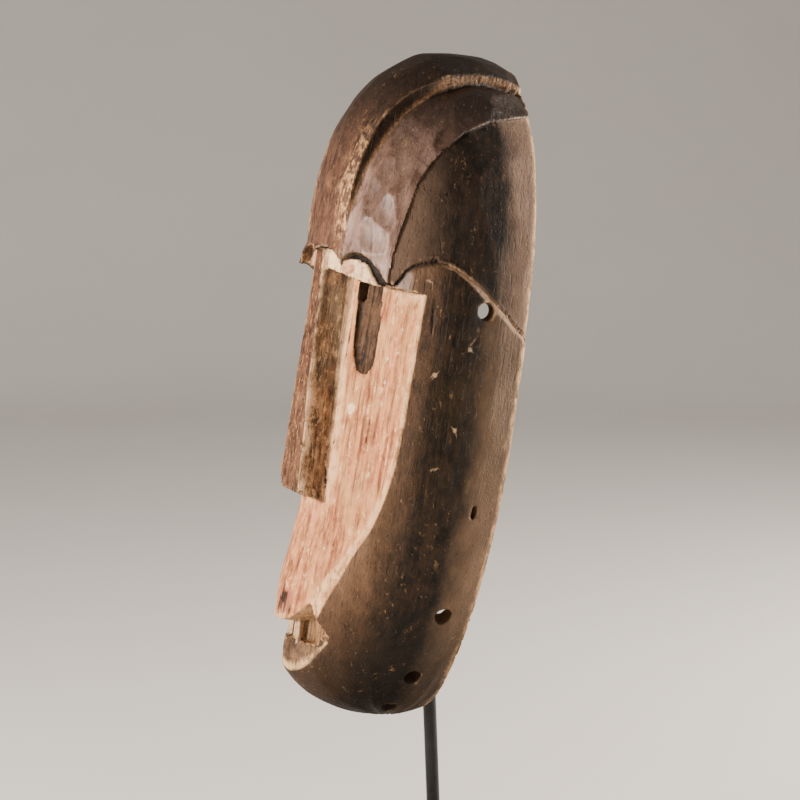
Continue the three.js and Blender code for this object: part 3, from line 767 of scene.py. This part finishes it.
# Chipped spots as x, d, z and reach, and lines as two places and a width
CHALK_SPOTS = [
    (72.3, 60.7, 256.3, 1.5), (28.7, 80.7, 176.1, 4.2), (38, 76.3, 218.7, 2.6), (67, 69, 246.5, 2.6),
    (54.7, 70.1, 220, 1.9), (58.6, 68.9, 213.8, 1.6), (50.8, 71.9, 209, 1.7), (51.4, 71.9, 195.5, 1.5),
    (49.3, 72.8, 190.6, 1.9), (58.9, 68.5, 226.4, 1.4), (31.5, 79, 210, 1.2), (76.6, 52.2, 204.6, 1.7),
    (80.3, 34.8, 221, 1.6), (80.2, 37, 175, 1.6), (78.5, 20.4, 128, 1.7), (-27, 80, 150, 3.2),
    (-56, 70, 215, 1.8), (-74, 57, 190, 1.6)]
CRACKS = [
    ((36.6, 12.5, 362.4), (28, 1, 363.5), 0.9), ((4.4, 102.5, 253.2), (4.2, 102.5, 263), 1.0),
    ((17.5, 84, 205), (17.2, 85, 232), 0.9), ((20.5, 79, 168), (19.6, 80, 190), 0.8),
    ((18.5, 90, 140), (19, 84, 158), 0.9), ((14, 93, 236), (15.2, 96, 205), 0.9),
    ((16, 96, 200), (17.5, 97, 150), 0.8), ((19, 86, 128), (18.4, 88, 150), 0.8),
    ((74.2, 57.6, 242), (74.4, 57, 226), 0.7), ((25, 86.6, 112), (25.6, 86, 134), 0.7),
    ((33, 83, 92), (34, 81.6, 116), 0.7), ((12, 93, 92), (12.6, 91.6, 112), 0.6),
    ((44, 76, 150), (44.6, 75.6, 182), 0.7), ((-36, 14, 361), (-30, 1, 366), 0.8),
    ((-79, 30, 180), (-79.5, 26, 205), 0.7), ((-17.5, 86, 190), (-17.2, 85, 220), 0.9),
    ((-33, 83, 96), (-34, 81.6, 118), 0.7)]
SCRATCHES = [
    ((37.5, 83, 82), (43, 80.4, 80.5), 0.8), ((79.5, 33, 128), (80, 30, 119), 0.8),
    ((76, 40, 98), (74, 44, 88), 0.7), ((66, 52, 42), (62, 50, 40), 0.8),
    ((80, 36, 222), (80.4, 31, 230), 0.7), ((72, 52, 96), (68, 57, 92), 0.7),
    ((78, 42, 176), (79, 38, 168), 0.7), ((77, 48, 150), (78.6, 42, 153), 0.6),
    ((58, 60, 30), (57, 62, 22), 0.8), ((-79, 38, 205), (-80, 30, 196), 0.8),
    ((-62, 55, 92), (-66, 50, 101), 0.8)]
STAIN_RUNS = [
    ((4.6, 97.5, 70), (4.2, 97.8, 52), 1.5), ((8.5, 96.2, 64), (6.5, 96.8, 50.5), 1.2),
    ((2.2, 98, 62), (2.0, 98, 50.5), 1.2), ((12.5, 94.6, 58), (11.5, 95, 51.5), 1.0)]

STORED_ZONES = ("crest", "lobe", "temple", "cheek", "nose_front", "nose_side", "eye", "mouth", "lip",
                "inner", "rim", "soffit", "crest_wall")
CRISP_MARKS = dict(chalk=1, pale=0.8, soot=1, smudge=0.5, lavender=0.5, worn=0.45, cheek=0.6, eye=0.6,
                   nose_front=0.4, lip=0.5, bevel=0.4, crest=0.3, crest_wall=0.3)


def chalk_marks(s, zones, under_arch):
    """Chalk on the panels and the teeth, the plug in the cheek and the chipped spots."""
    # The panels keep no chalk in the groove under the arch, which is painted as shade instead.
    chalk = zones.panel * (1 - under_arch)
    crumbled = blend_in(s.rough_waves(1.4, 250), -0.5, 0.1)
    for number, (x, d, z, reach) in enumerate(CHALK_SPOTS):
        spot = spot_at(s, x, d, z, 0.75 * reach + 0.2, 160 + number) * crumbled
        chalk = np.maximum(chalk, (0.5 if d < 66 else 0.85) * spot * zones.outer)
    chalk = np.maximum(chalk, 0.95 * spot_at(s, 28.7, 80.7, 176.1, 3.8, 188) * zones.cheek)
    return np.maximum(chalk, zones.tooth * 0.5)


def pale_marks(s, zones, cheek_edge, ragged, strip):
    """Bare wood along the edges of the cheek, the nose and the lip, pale wear with a painted highlight along
    the rim, and paler downward faces in the mouth.
    """
    d, z, side = s.d, s.z, s.side
    band = np.interp(z, [42, 58, 76, 96, 120, 160, 249], [3.6, 4.2, 2.6, 1.8, 1.2, 0.8, 0.9])
    band = band * (1 + 0.4 * s.waves((7, 7, 14), 141))
    edge = zones.cheek * fade(cheek_edge, band * 0.6, band * 1.15)
    top_edge = zones.cheek * np.clip(0.9 * blend_in(z + ragged, 238, 249) * blend_in(side, 46, 54)
                                     + blend_in(z + 0.4 * ragged, 245.5, 247.5) * (side > 38), 0, 1)
    nose_gap = side - np.interp(z, [117, 249], [22.6, 14.9])
    beside = np.interp(z, [117, 185, 212, 249], [3.6, 2.4, 0.9, 0.6]) * (1 + 0.3 * s.waves((9, 9, 30), 143))
    beside_nose = zones.cheek * fade(nose_gap, beside * 0.5, beside * 1.5)
    beside_nose *= blend_in(z + ragged, 111, 134)
    lip_edge = 0.7 * zones.lip * fade(cheek_edge + 0.25 * ragged, 0.6, 2.6)
    # Pale wear and a painted highlight along the rim's edge, stronger high up.
    rim_wear_and_highlight = (zones.face_side + zones.temple) * fade(d + 0.7 * s.waves(6, 189), 1.2, 3.4)
    rim_wear_and_highlight *= np.interp(z, [0, 60, 180, 260, 350], [0.3, 0.5, 0.8, 0.9, 0.6])
    tan_strip = zones.nose_side * fade(zones.cheek_gap, strip * 0.85, strip * 1.1) * (z > 150)
    mouth_roof = zones.mouth * blend_in(-s.normal[:, 2], 0.25, 0.6)
    return (0.8 * edge + top_edge + 0.75 * beside_nose + lip_edge + rim_wear_and_highlight
            + 0.3 * tan_strip + 0.5 * mouth_roof)


def soot_marks(s, zones, bevel, under_arch, strip):
    """Painted shade in the grooves, holes and gaps, under the cusps, along the temple's steps, on the crest's
    side wall and at the front of the temple's bevel, a dark line along the nose's tan strip, and the real
    stain over the mouth.
    """
    d, z, side = s.d, s.z, s.side
    # Painted shade under the cusps at the ends of the arches.
    cusps = np.clip(spot_at(s, 60, 82, 251, 8, 185, 1) + spot_at(s, 60, 82, 251, 8, 186, -1), 0, 1)
    arch_gap, _ = line_gap(TEMPLE_EDGE, d, z)
    lobe_gap, _ = line_gap(LOBE_EDGE, d, z)
    # Painted shade along the temple's steps at the arch and at the lobe.
    step_line = 0.7 * zones.temple * fade(arch_gap, 0.5, 1.3) * (z < 272)
    step_line += 0.7 * zones.temple * fade(lobe_gap, 0.2, 0.8)
    # Painted shadow on the crest's side wall towards the front, deepest low on the wall.
    wall_low = blend_in(-zones.gap["lobe"], 0.2, 2.6)
    wall_dark = zones.crest_wall * blend_in(d, 46, 62) * (0.55 + 0.45 * wall_low)
    stain = spot_at(s, 4.6, 97.4, 61, 4.4, 183) * blend_in(s.rough_waves((2, 2, 3.4), 240), -0.5, 0.3)
    stain = np.clip(np.maximum(stain, 0.85 * streaks(s, STAIN_RUNS, 241)), 0, 1)
    # Painted shade in the gap between the teeth.
    between_teeth = zones.mouth * (side < 1.3) * (z < 51) * (d > 80)
    # Painted shade in the pocket and through-hole at the top of each eye slot.
    eye_hole = (z > 236.5) * (z < 250) * (side > 15) * zones.eye
    eye_hole *= (side < 23.6) * (d < 77.2) + (side < 19.3) * (d < 82.2)
    strip_line = zones.nose_side * near(zones.cheek_gap - strip * 1.05, 0.2, 0.5) * (z > 165)
    # painted shade in the groove under the arch over the eye
    return (wall_dark + cusps * zones.soffit + 0.85 * under_arch + step_line * 0.7
            + stain * zones.cheek + 0.8 * between_teeth + eye_hole
            # painted shade on the front part of the temple's bevel
            + bevel * 0.4 * blend_in(d, 50, 60) + 0.45 * strip_line)


def mark_up(s, zones, bevel, facet, under_arch, worn, crevice):
    """Stores where each colour lies, for the finish to read."""
    d, z, side = s.d, s.z, s.side
    cheek_edge = depth_inside(FACE, s.x, d, z)
    ragged = 4 * s.waves((5, 5, 9), 142)
    strip = np.interp(z, [117, 180, 249], [0.3, 1.5, 3.0]) * (1 + 0.15 * s.waves((9, 9, 16), 190))
    lavender = np.clip(spot_at(s, 62.3, 73.6, 254.3, 8.2, 151) + spot_at(s, 61.6, 74, 253, 7, 152, -1), 0, 1)
    lavender *= zones.face_side * (z > 249.4) * near(side - 61.5 + ragged / 4, 3.0, 2.4)
    smudge = spot_at(s, 33, 95.6, 256, 4.8, 181) + 0.6 * spot_at(s, 30, 97.4, 255, 4, 182)
    # The spot on the far panel beside the nose is painted shade; the other spots are real smudges.
    smudge = (smudge + 0.9 * spot_at(s, -13, 99, 258, 12, 187)) * zones.panel
    smudge += 0.9 * spot_at(s, 5.5, 97, 59, 10, 184) * zones.cheek
    cracks, scratches = streaks(s, CRACKS, 191), streaks(s, SCRATCHES, 221)
    rubbed = zones.crest * fade(crest_half_at(d) - side, 2, 15)
    rubbed *= blend_in(z, 260, 280) * fade(z, 325, 352)
    # Dirt and painted shade in the hollows, less on the crest wall, lobe and temple.
    crevice = crevice * (1 - 0.8 * zones.crest_wall) * (1 - 0.8 * zones.lobe) * (1 - 0.5 * zones.temple)
    marks = {name: getattr(zones, name) for name in STORED_ZONES}
    marks.update(
        chalk=chalk_marks(s, zones, under_arch), lavender=lavender,
        pale=pale_marks(s, zones, cheek_edge, ragged, strip), bevel=bevel * fade(d, 50, 60),
        soot=soot_marks(s, zones, bevel, under_arch, strip) + cracks,
        smudge=smudge, rubbed=rubbed, facet=facet, worn=worn + scratches * 0.8, crevice=crevice)
    s.push_out(-(0.6 * cracks + 0.2 * scratches))
    s.hidden = np.maximum(zones.inner, zones.rim)
    for name, values in marks.items():
        s.store(name, values, CRISP_MARKS.get(name, 0))


def lean_back(piece):
    """Turns the mask to its place, and holds it to the box of the solid that it stands for."""
    piece.data.transform(Matrix.Translation(MASK_PLACE) @ Matrix.Rotation(-MASK_LEAN, 4, "X"))
    low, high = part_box("mask")
    place_points(piece, np.clip(points_of(piece), low, high))


# Finishes
def paint(red, green, blue):
    """A paint's linear colour from the numbers of a colour chart."""
    def linear(value):
        value /= 255
        return value / 12.92 if value <= 0.04045 else ((value + 0.055) / 1.055) ** 2.4
    return linear(red), linear(green), linear(blue), 1.0


class Reading:
    """A number that varies over a surface and can be worked with as a Python number."""

    def __init__(self, finish, socket):
        self.finish, self.socket = finish, socket

    def math(self, operation, *values):
        return self.finish.node("ShaderNodeMath", {"operation": operation}, dict(enumerate(values)))

    def between(self, low, high):
        """0 up to low, 1 from high, and a soft step between them."""
        return self.finish.node("ShaderNodeMapRange", {"interpolation_type": "SMOOTHSTEP", "clamp": True},
                                {"Value": self, "From Min": low, "From Max": high})


for sign, operation in (("add", "ADD"), ("sub", "SUBTRACT"), ("mul", "MULTIPLY")):
    setattr(Reading, f"__{sign}__", lambda one, other, operation=operation: one.math(operation, one, other))
    setattr(Reading, f"__r{sign}__", lambda one, other, operation=operation: one.math(operation, other, one))


class Finish:
    """A material under construction."""

    def __init__(self, name, **settings):
        self.material = bpy.data.materials.new(name)
        self.material.use_nodes = True
        self.nodes = self.material.node_tree.nodes
        self.links = self.material.node_tree.links
        self.shader = self.nodes["Principled BSDF"]
        for socket, value in settings.items():
            self.shader.inputs[socket.replace("_", " ").title().replace("Ior", "IOR")].default_value = value

    def node(self, kind, settings, values, output=0):
        made = self.nodes.new(kind)
        for key, value in settings.items():
            setattr(made, key, value)
        for key, value in values.items():
            if isinstance(value, Reading):
                self.links.new(value.socket, made.inputs[key])
            else:
                made.inputs[key].default_value = value
        return Reading(self, made.outputs[output])

    def place(self):
        return self.node("ShaderNodeTexCoord", {}, {}, "Object")

    def mark(self, name):
        return self.node("ShaderNodeAttribute", {"attribute_name": name}, {}, "Fac")

    def stretched(self, place, x, y, z):
        return self.node("ShaderNodeVectorMath", {"operation": "MULTIPLY"}, {0: place, 1: (x, y, z)})

    def noise(self, place, size, stretch=(1, 1, 1), detail=3.0, roughness=0.55, distortion=0.0):
        """Noise whose patches are about size millimetres across, drawn out by stretch."""
        spread = [1 / (size * MM * part) for part in stretch]
        return self.node("ShaderNodeTexNoise", {}, {
            "Vector": self.stretched(place, *spread), "Scale": 1.0, "Detail": detail,
            "Roughness": roughness, "Distortion": distortion}, "Fac")

    def mix(self, below, above, amount):
        return self.node("ShaderNodeMix", {"data_type": "RGBA"}, {0: amount, 6: below, 7: above}, 2)

    def layers(self, ground, *coats):
        """A ground and the coats over it, each with how much of it shows. Plain colours are given
        by the numbers of a colour chart."""
        colour = paint(*ground) if isinstance(ground, tuple) else ground
        for tint, amount in coats:
            colour = self.mix(colour, paint(*tint) if isinstance(tint, tuple) else tint, amount)
        return colour

    def bump(self, height, distance, under=None):
        values = {"Height": height, "Distance": distance * MM, "Strength": 1.0}
        if under is not None:
            values["Normal"] = under
        return self.node("ShaderNodeBump", {}, values, "Normal")

    def set(self, **values):
        for key, value in values.items():
            socket = self.shader.inputs[key.replace("_", " ").title()]
            if isinstance(value, Reading):
                self.links.new(value.socket, socket)
            else:
                socket.default_value = value


def carved_wood():
    f = Finish("carved_wood", specular_ior_level=0.16)
    upright = f.node("ShaderNodeMapping", {"vector_type": "POINT"},
                     {"Vector": f.place(), "Rotation": (MASK_LEAN, 0, 0)})
    height = f.node("ShaderNodeSeparateXYZ", {}, {"Vector": upright}, "Z")
    rear = f.node("ShaderNodeSeparateXYZ", {}, {"Vector": upright}, "Y")
    patches = f.noise(upright, 48, detail=4)
    spots = f.noise(upright, 13, (1, 1, 1.7), detail=5, roughness=0.62)
    blotches = f.noise(upright, 5.5, (1, 1, 1.5), detail=5, roughness=0.68)
    grain = f.noise(upright, 2.6, (1, 1, 12), detail=4, roughness=0.6, distortion=0.3)
    streaky = f.noise(upright, 4.2, (1, 1, 18), detail=5, roughness=0.6, distortion=0.4)
    fibre = f.noise(upright, 1.1, (1, 1, 20), detail=3, roughness=0.6)
    grit = f.noise(upright, 1.5, detail=4, roughness=0.7)
    pores = f.noise(upright, 1.5, (1, 1, 7), detail=3, roughness=0.5).between(0.4, 0.3)
    chipped = f.noise(upright, 2.7, (1, 1, 2.0), detail=5, roughness=0.75)
    flecks = chipped.between(0.55, 0.61)
    specks = f.noise(upright, 1.7, (1, 1, 1.4), detail=3).between(0.68, 0.76)
    scuffs = f.noise(upright, 2.1, (1, 1.6, 3.4), detail=3, roughness=0.75, distortion=0.6).between(0.6, 0.67)
    # Painted light: the front of the sides and the temple is painted lighter where the front light falls, and
    # the rear lighter as a painted rim highlight.
    key_lit_front, rim_lit_back = rear + 0.03 * spots, rear + 0.012 * (spots - 0.5)
    # Darker towards the top of the forehead: partly patina, partly painted shade where the light falls off.
    top = height + 0.03 * spots
    mottled = grain * 0.2 + spots * 0.4 + blotches * 0.4
    facet = f.mark("facet")

    ground = dict(
        side=f.layers(
            (9, 6, 3), ((52, 36, 23), (grain * 0.25 + spots * 0.3 + blotches * 0.45).between(0.39, 0.62)),
            ((58, 46, 27), patches.between(0.5, 0.66) * 0.3),
            # painted light on the front and a painted rim highlight at the rear
            ((132, 96, 70), key_lit_front.between(-0.038, -0.072) * (0.25 + 0.7 * blotches)),
            ((136, 108, 84), rim_lit_back.between(-0.038, -0.02) * (0.25 + 0.7 * spots)),
            ((14, 9, 5), height.between(0.22, 0.14) * 0.75)),
        temple=f.layers(
            (14, 9, 6), ((50, 36, 26), mottled.between(0.39, 0.62)),
            # painted light on the front and a painted rim highlight at the rear
            ((112, 88, 72), key_lit_front.between(-0.04, -0.07) * 0.55),
            ((150, 122, 104), rim_lit_back.between(-0.031, -0.015) * (0.4 + 0.6 * spots))),
        lobe=f.layers(
            (88, 62, 50), ((150, 116, 101), mottled.between(0.38, 0.62)),
            # painted sheen on the paler lilac cuts and painted shade on the darker ones, by each cut's random
            # number
            ((160, 134, 128), facet.between(0.45, 0.95) * 0.28),
            ((70, 48, 38), facet.between(0.4, 0.05) * 0.35),
            # the top painted darker, patina and painted shade
            ((28, 19, 12), top.between(0.43, 0.5) * 0.94)),
        crest=f.layers(
            (44, 27, 20), ((118, 79, 60), (grain * 0.25 + spots * 0.35 + blotches * 0.4).between(0.37, 0.63)),
            ((232, 178, 124), chipped.between(0.45, 0.62) * f.mark("rubbed") * 0.8 + flecks * 0.12),
            # the top painted darker, patina and painted shade
            ((25, 17, 10), top.between(0.425, 0.505) * 0.92)),
        crest_wall=f.layers(
            (84, 58, 38), ((168, 126, 90), (grit * 0.5 + blotches * 0.5).between(0.36, 0.64))),
        inner=f.layers(
            (70, 49, 33), ((138, 104, 74), (grain * 0.6 + spots * 0.4).between(0.36, 0.64)),
            ((52, 36, 24), patches.between(0.48, 0.62) * 0.55)),
        rim=f.layers(
            (96, 69, 48), ((166, 130, 97), (grain * 0.3 + grit * 0.3 + blotches * 0.4).between(0.38, 0.62)),
            ((64, 45, 31), patches.between(0.46, 0.62) * spots.between(0.35, 0.6) * 0.6)),
        # the brow's undersides painted dark, as painted shade
        soffit=f.layers((38, 30, 20), ((82, 66, 46), (grit * 0.5 + spots * 0.5).between(0.34, 0.66))),
        cheek=f.layers(
            (122, 69, 45),
            ((214, 142, 96), (streaky * 0.35 + grain * 0.3 + blotches * 0.35).between(0.38, 0.6)),
            ((206, 150, 100), patches.between(0.42, 0.6) * spots.between(0.4, 0.6) * 0.6),
            ((112, 60, 40), grain.between(0.43, 0.33) * 0.65),
            ((240, 194, 146), flecks * grain.between(0.44, 0.54) * 0.75)),
        nose_front=f.layers(
            (52, 31, 21), ((118, 78, 56), (grain * 0.35 + blotches * 0.65).between(0.36, 0.64)),
            ((214, 164, 118), flecks * 0.4)),
        nose_side=f.layers(
            (44, 29, 17),
            ((150, 110, 76), (streaky * 0.35 + grain * 0.25 + blotches * 0.4).between(0.39, 0.62)),
            ((78, 68, 56), patches.between(0.48, 0.6) * 0.5), ((200, 160, 118), flecks * 0.4)),
        eye=f.layers(
            (28, 18, 12), ((98, 70, 50), (grain * 0.45 + blotches * 0.35 + grit * 0.2).between(0.39, 0.62))),
        mouth=f.layers((66, 45, 28), ((156, 116, 80), (grain * 0.7 + grit * 0.3).between(0.36, 0.64))),
        lip=f.layers((54, 38, 27), ((128, 96, 70), (spots * 0.55 + blotches * 0.45).between(0.38, 0.62))))
    chalk = f.layers(
        (206, 160, 118), ((248, 214, 172), (grit * 0.5 + blotches * 0.5).between(0.36, 0.58)),
        ((150, 106, 76), grit.between(0.4, 0.32) * 0.8))

    colour = f.layers(
        ground.pop("side"), *[(layer, f.mark(name)) for name, layer in ground.items()],
        # painted shade: each cut a little darker by its random number, for the shade of its tilt
        ((24, 16, 12), (1 - facet) * facet.between(0, 0.02) * 0.13),
        # bare wood, with a painted highlight along the rim's edge
        ((234, 188, 140), f.mark("pale") * (0.25 + 0.75 * blotches.between(0.38, 0.56))),
        # pale bare wood with a painted highlight on the rear part of the temple's bevel
        ((158, 126, 98), f.mark("bevel") * (0.55 + 0.45 * grit)),
        (chalk, f.mark("chalk")),
        ((150, 132, 124), f.mark("lavender") * (0.2 + 0.7 * blotches)),
        # real smudges, with painted shade on the far panel beside the nose
        ((160, 96, 76), f.mark("smudge") * blotches.between(0.3, 0.56) * 0.9),
        ((210, 172, 134), f.mark("worn") * blotches.between(0.4, 0.56) * 0.75),
        ((186, 152, 118), specks * 0.35),
        ((150, 118, 84), scuffs * spots.between(0.42, 0.6) * 0.4),
        ((34, 22, 15), pores * 0.3),
        # painted shade in grooves, gaps and holes, with dirt and painted shade in the hollows, over the real
        # cracks and stains
        ((24, 16, 11), (f.mark("soot") * 0.85 + f.mark("crevice") * 0.5).between(0.0, 1.0)))

    roughness = (0.46 + 0.2 * grit + 0.12 * f.mark("chalk") + 0.1 * f.mark("cheek") - 0.08 * f.mark("lobe")
                 + 0.16 * f.mark("temple"))
    relief = f.bump(fibre * 0.4 + grain * 0.8 + streaky * 0.5, 0.3)
    relief = f.bump(blotches * 0.7 + grit * 0.6 - pores * 0.4 + chipped * 0.6, 0.72, relief)
    f.set(base_color=colour, roughness=roughness, normal=relief, coat_roughness=0.36,
          coat_weight=0.24 * f.mark("lobe") + 0.12 * f.mark("crest"))
    return f.material


def black_steel(name, colour, roughness):
    f = Finish(name, metallic=0.55)
    place = f.place()
    wear = f.noise(place, 5, detail=5, roughness=0.65)
    brushed = f.noise(place, 0.9, (1, 1, 9), detail=3)
    dark = tuple(0.45 * part for part in colour[:3]) + (1.0,)
    f.set(base_color=f.mix(dark, colour, wear.between(0.3, 0.7)), roughness=roughness + 0.16 * wear,
          normal=f.bump(brushed, 0.03))
    return f.material


def studio_floor():
    f = Finish("pale_floor", specular_ior_level=0.25)
    tone = f.noise(f.place(), 220, detail=2)
    f.set(base_color=f.mix(paint(226, 223, 218), paint(232, 230, 226), tone), roughness=0.85)
    return f.material


# The stand, the floor, the lights and the camera
def smooth(piece):
    select_only(piece)
    bpy.ops.object.shade_smooth_by_angle(angle=math.radians(35))
    return piece


def steel_rod():
    """A round rod with both ends turned to a small chamfer, leaning as the solid does."""
    rod = start_piece("rod_finished", "cylinder", vertices=56, radius=ROD_RADIUS * MM, depth=ROD_LENGTH * MM)
    apply_modifier(rod, "BEVEL", width=0.8 * MM, segments=3, limit_method="ANGLE",
                   angle_limit=math.radians(50))
    rod.data.transform(Matrix.Translation((0, 0, ROD_LENGTH / 2 * MM)))
    foot_end = Matrix.Translation(Vector((0, ROD_BACK, ROD_FOOT_END)) * MM)
    rod.data.transform(foot_end @ Matrix.Rotation(ROD_LEAN, 4, "X"))
    return smooth(rod)


def steel_foot():
    """The square plate, with softened edges and a seat that the rod stands in."""
    foot = start_piece("foot_finished", "cube", size=1)
    foot.data.transform(Matrix.Diagonal((FOOT_WIDTH * MM, FOOT_WIDTH * MM, FOOT_THICKNESS * MM, 1)))
    foot.data.transform(Matrix.Translation((0, 0, FOOT_THICKNESS / 2 * MM)))
    apply_modifier(foot, "BEVEL", width=1.4 * MM, segments=4)
    cutter = 20
    seat = start_piece("rod_seat", "cylinder", vertices=56, radius=SEAT_RADIUS * MM, depth=cutter * MM,
                       location=(0, ROD_BACK * MM, (SEAT_FLOOR + cutter / 2) * MM))
    seat.data.transform(seat.matrix_world)
    seat.matrix_world = Matrix.Identity(4)
    carve(foot, seat)
    apply_modifier(foot, "BEVEL", width=0.5 * MM, segments=2, limit_method="ANGLE",
                   angle_limit=math.radians(60))
    return smooth(foot)


VIEW_TURN, VIEW_RISE = math.radians(68.5), math.radians(8)
VIEW_DISTANCE = 1.6
VIEW_RIGHT = Vector((math.cos(VIEW_TURN), math.sin(VIEW_TURN), 0))
VIEW_BACK = Vector((math.sin(VIEW_TURN) * math.cos(VIEW_RISE), -math.cos(VIEW_TURN) * math.cos(VIEW_RISE),
                    math.sin(VIEW_RISE)))
VIEW_UP = VIEW_BACK.cross(VIEW_RIGHT)
LOOK_AT = MASK_PLACE - 11.4 * MM * VIEW_RIGHT + 183 * MM * VIEW_UP


def soft_light(name, right, up, back, size, watts, colour):
    light = bpy.data.lights.new(name, "AREA")
    light.shape, light.size, light.energy, light.color = "SQUARE", size, watts, colour
    lamp = bpy.data.objects.new(name, light)
    lamp.visible_camera = False
    bpy.context.scene.collection.objects.link(lamp)
    lamp.location = LOOK_AT + right * VIEW_RIGHT + up * Vector((0, 0, 1)) + back * VIEW_BACK
    lamp.rotation_euler = (lamp.location - LOOK_AT).to_track_quat("Z", "Y").to_euler()


def set_the_studio():
    """A pale floor that curves up all round, two soft lights, a dim sky and the photo's camera."""
    floor = start_piece("studio_floor", "grid", x_subdivisions=120, y_subdivisions=120, size=11)
    spread = points_of(floor)
    spread[:, 2] = 0.42 * np.maximum(np.hypot(spread[:, 0], spread[:, 1]) - 2.1, 0) ** 2
    place_points(floor, spread)
    bpy.ops.object.shade_smooth()
    floor.data.materials.append(studio_floor())
    soft_light("key", -1.26, 0.2, 0.74, 0.4, 54, (1.0, 0.91, 0.8))
    soft_light("rim", 1.42, 0.25, -0.4, 0.45, 62, (1.0, 0.89, 0.78))
    world = bpy.data.worlds.new("studio")
    world.use_nodes = True
    world.node_tree.nodes["Background"].inputs["Color"].default_value = (0.9, 0.88, 0.85, 1)
    world.node_tree.nodes["Background"].inputs["Strength"].default_value = 0.36
    bpy.context.scene.world = world
    lens = bpy.data.cameras.new("photo_view")
    lens.lens, lens.sensor_width, lens.clip_start, lens.clip_end = 120, 36, 0.05, 60
    camera = bpy.data.objects.new("photo_view", lens)
    bpy.context.scene.collection.objects.link(camera)
    camera.location = LOOK_AT + VIEW_DISTANCE * VIEW_BACK
    camera.rotation_euler = VIEW_BACK.to_track_quat("Z", "Y").to_euler()
    bpy.context.scene.camera = camera


mask = carve_mask()
apply_modifier(mask, "REMESH", mode="VOXEL", voxel_size=CELL * MM, use_smooth_shade=True)
surface = Surface(mask)
surface.relax(0.5)
true_edges = blend_in(surface.bulge(5), 0.008, 0.03)
zones = Zones(surface)
bevel, facet, under_arch = carve_by_hand(surface, zones)
worn, crevice = wear_edges(surface, zones, true_edges)
mark_up(surface, zones, bevel, facet, under_arch, worn, crevice)
surface.thin_out(TRIANGLES, KEPT_POINTS)
lean_back(mask)
rod, foot = steel_rod(), steel_foot()
for piece, node, slot, finish in (
        (mask, "mask", "mask_wood", carved_wood()),
        (rod, "stand_rod", "rod_steel", black_steel("rod_black", paint(34, 34, 36), 0.3)),
        (foot, "stand_foot", "foot_steel", black_steel("foot_black", paint(32, 32, 33), 0.48))):
    piece.data.materials.clear()
    piece.data.materials.append(finish)
    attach(piece, "root")
    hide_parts(node)

set_the_studio()
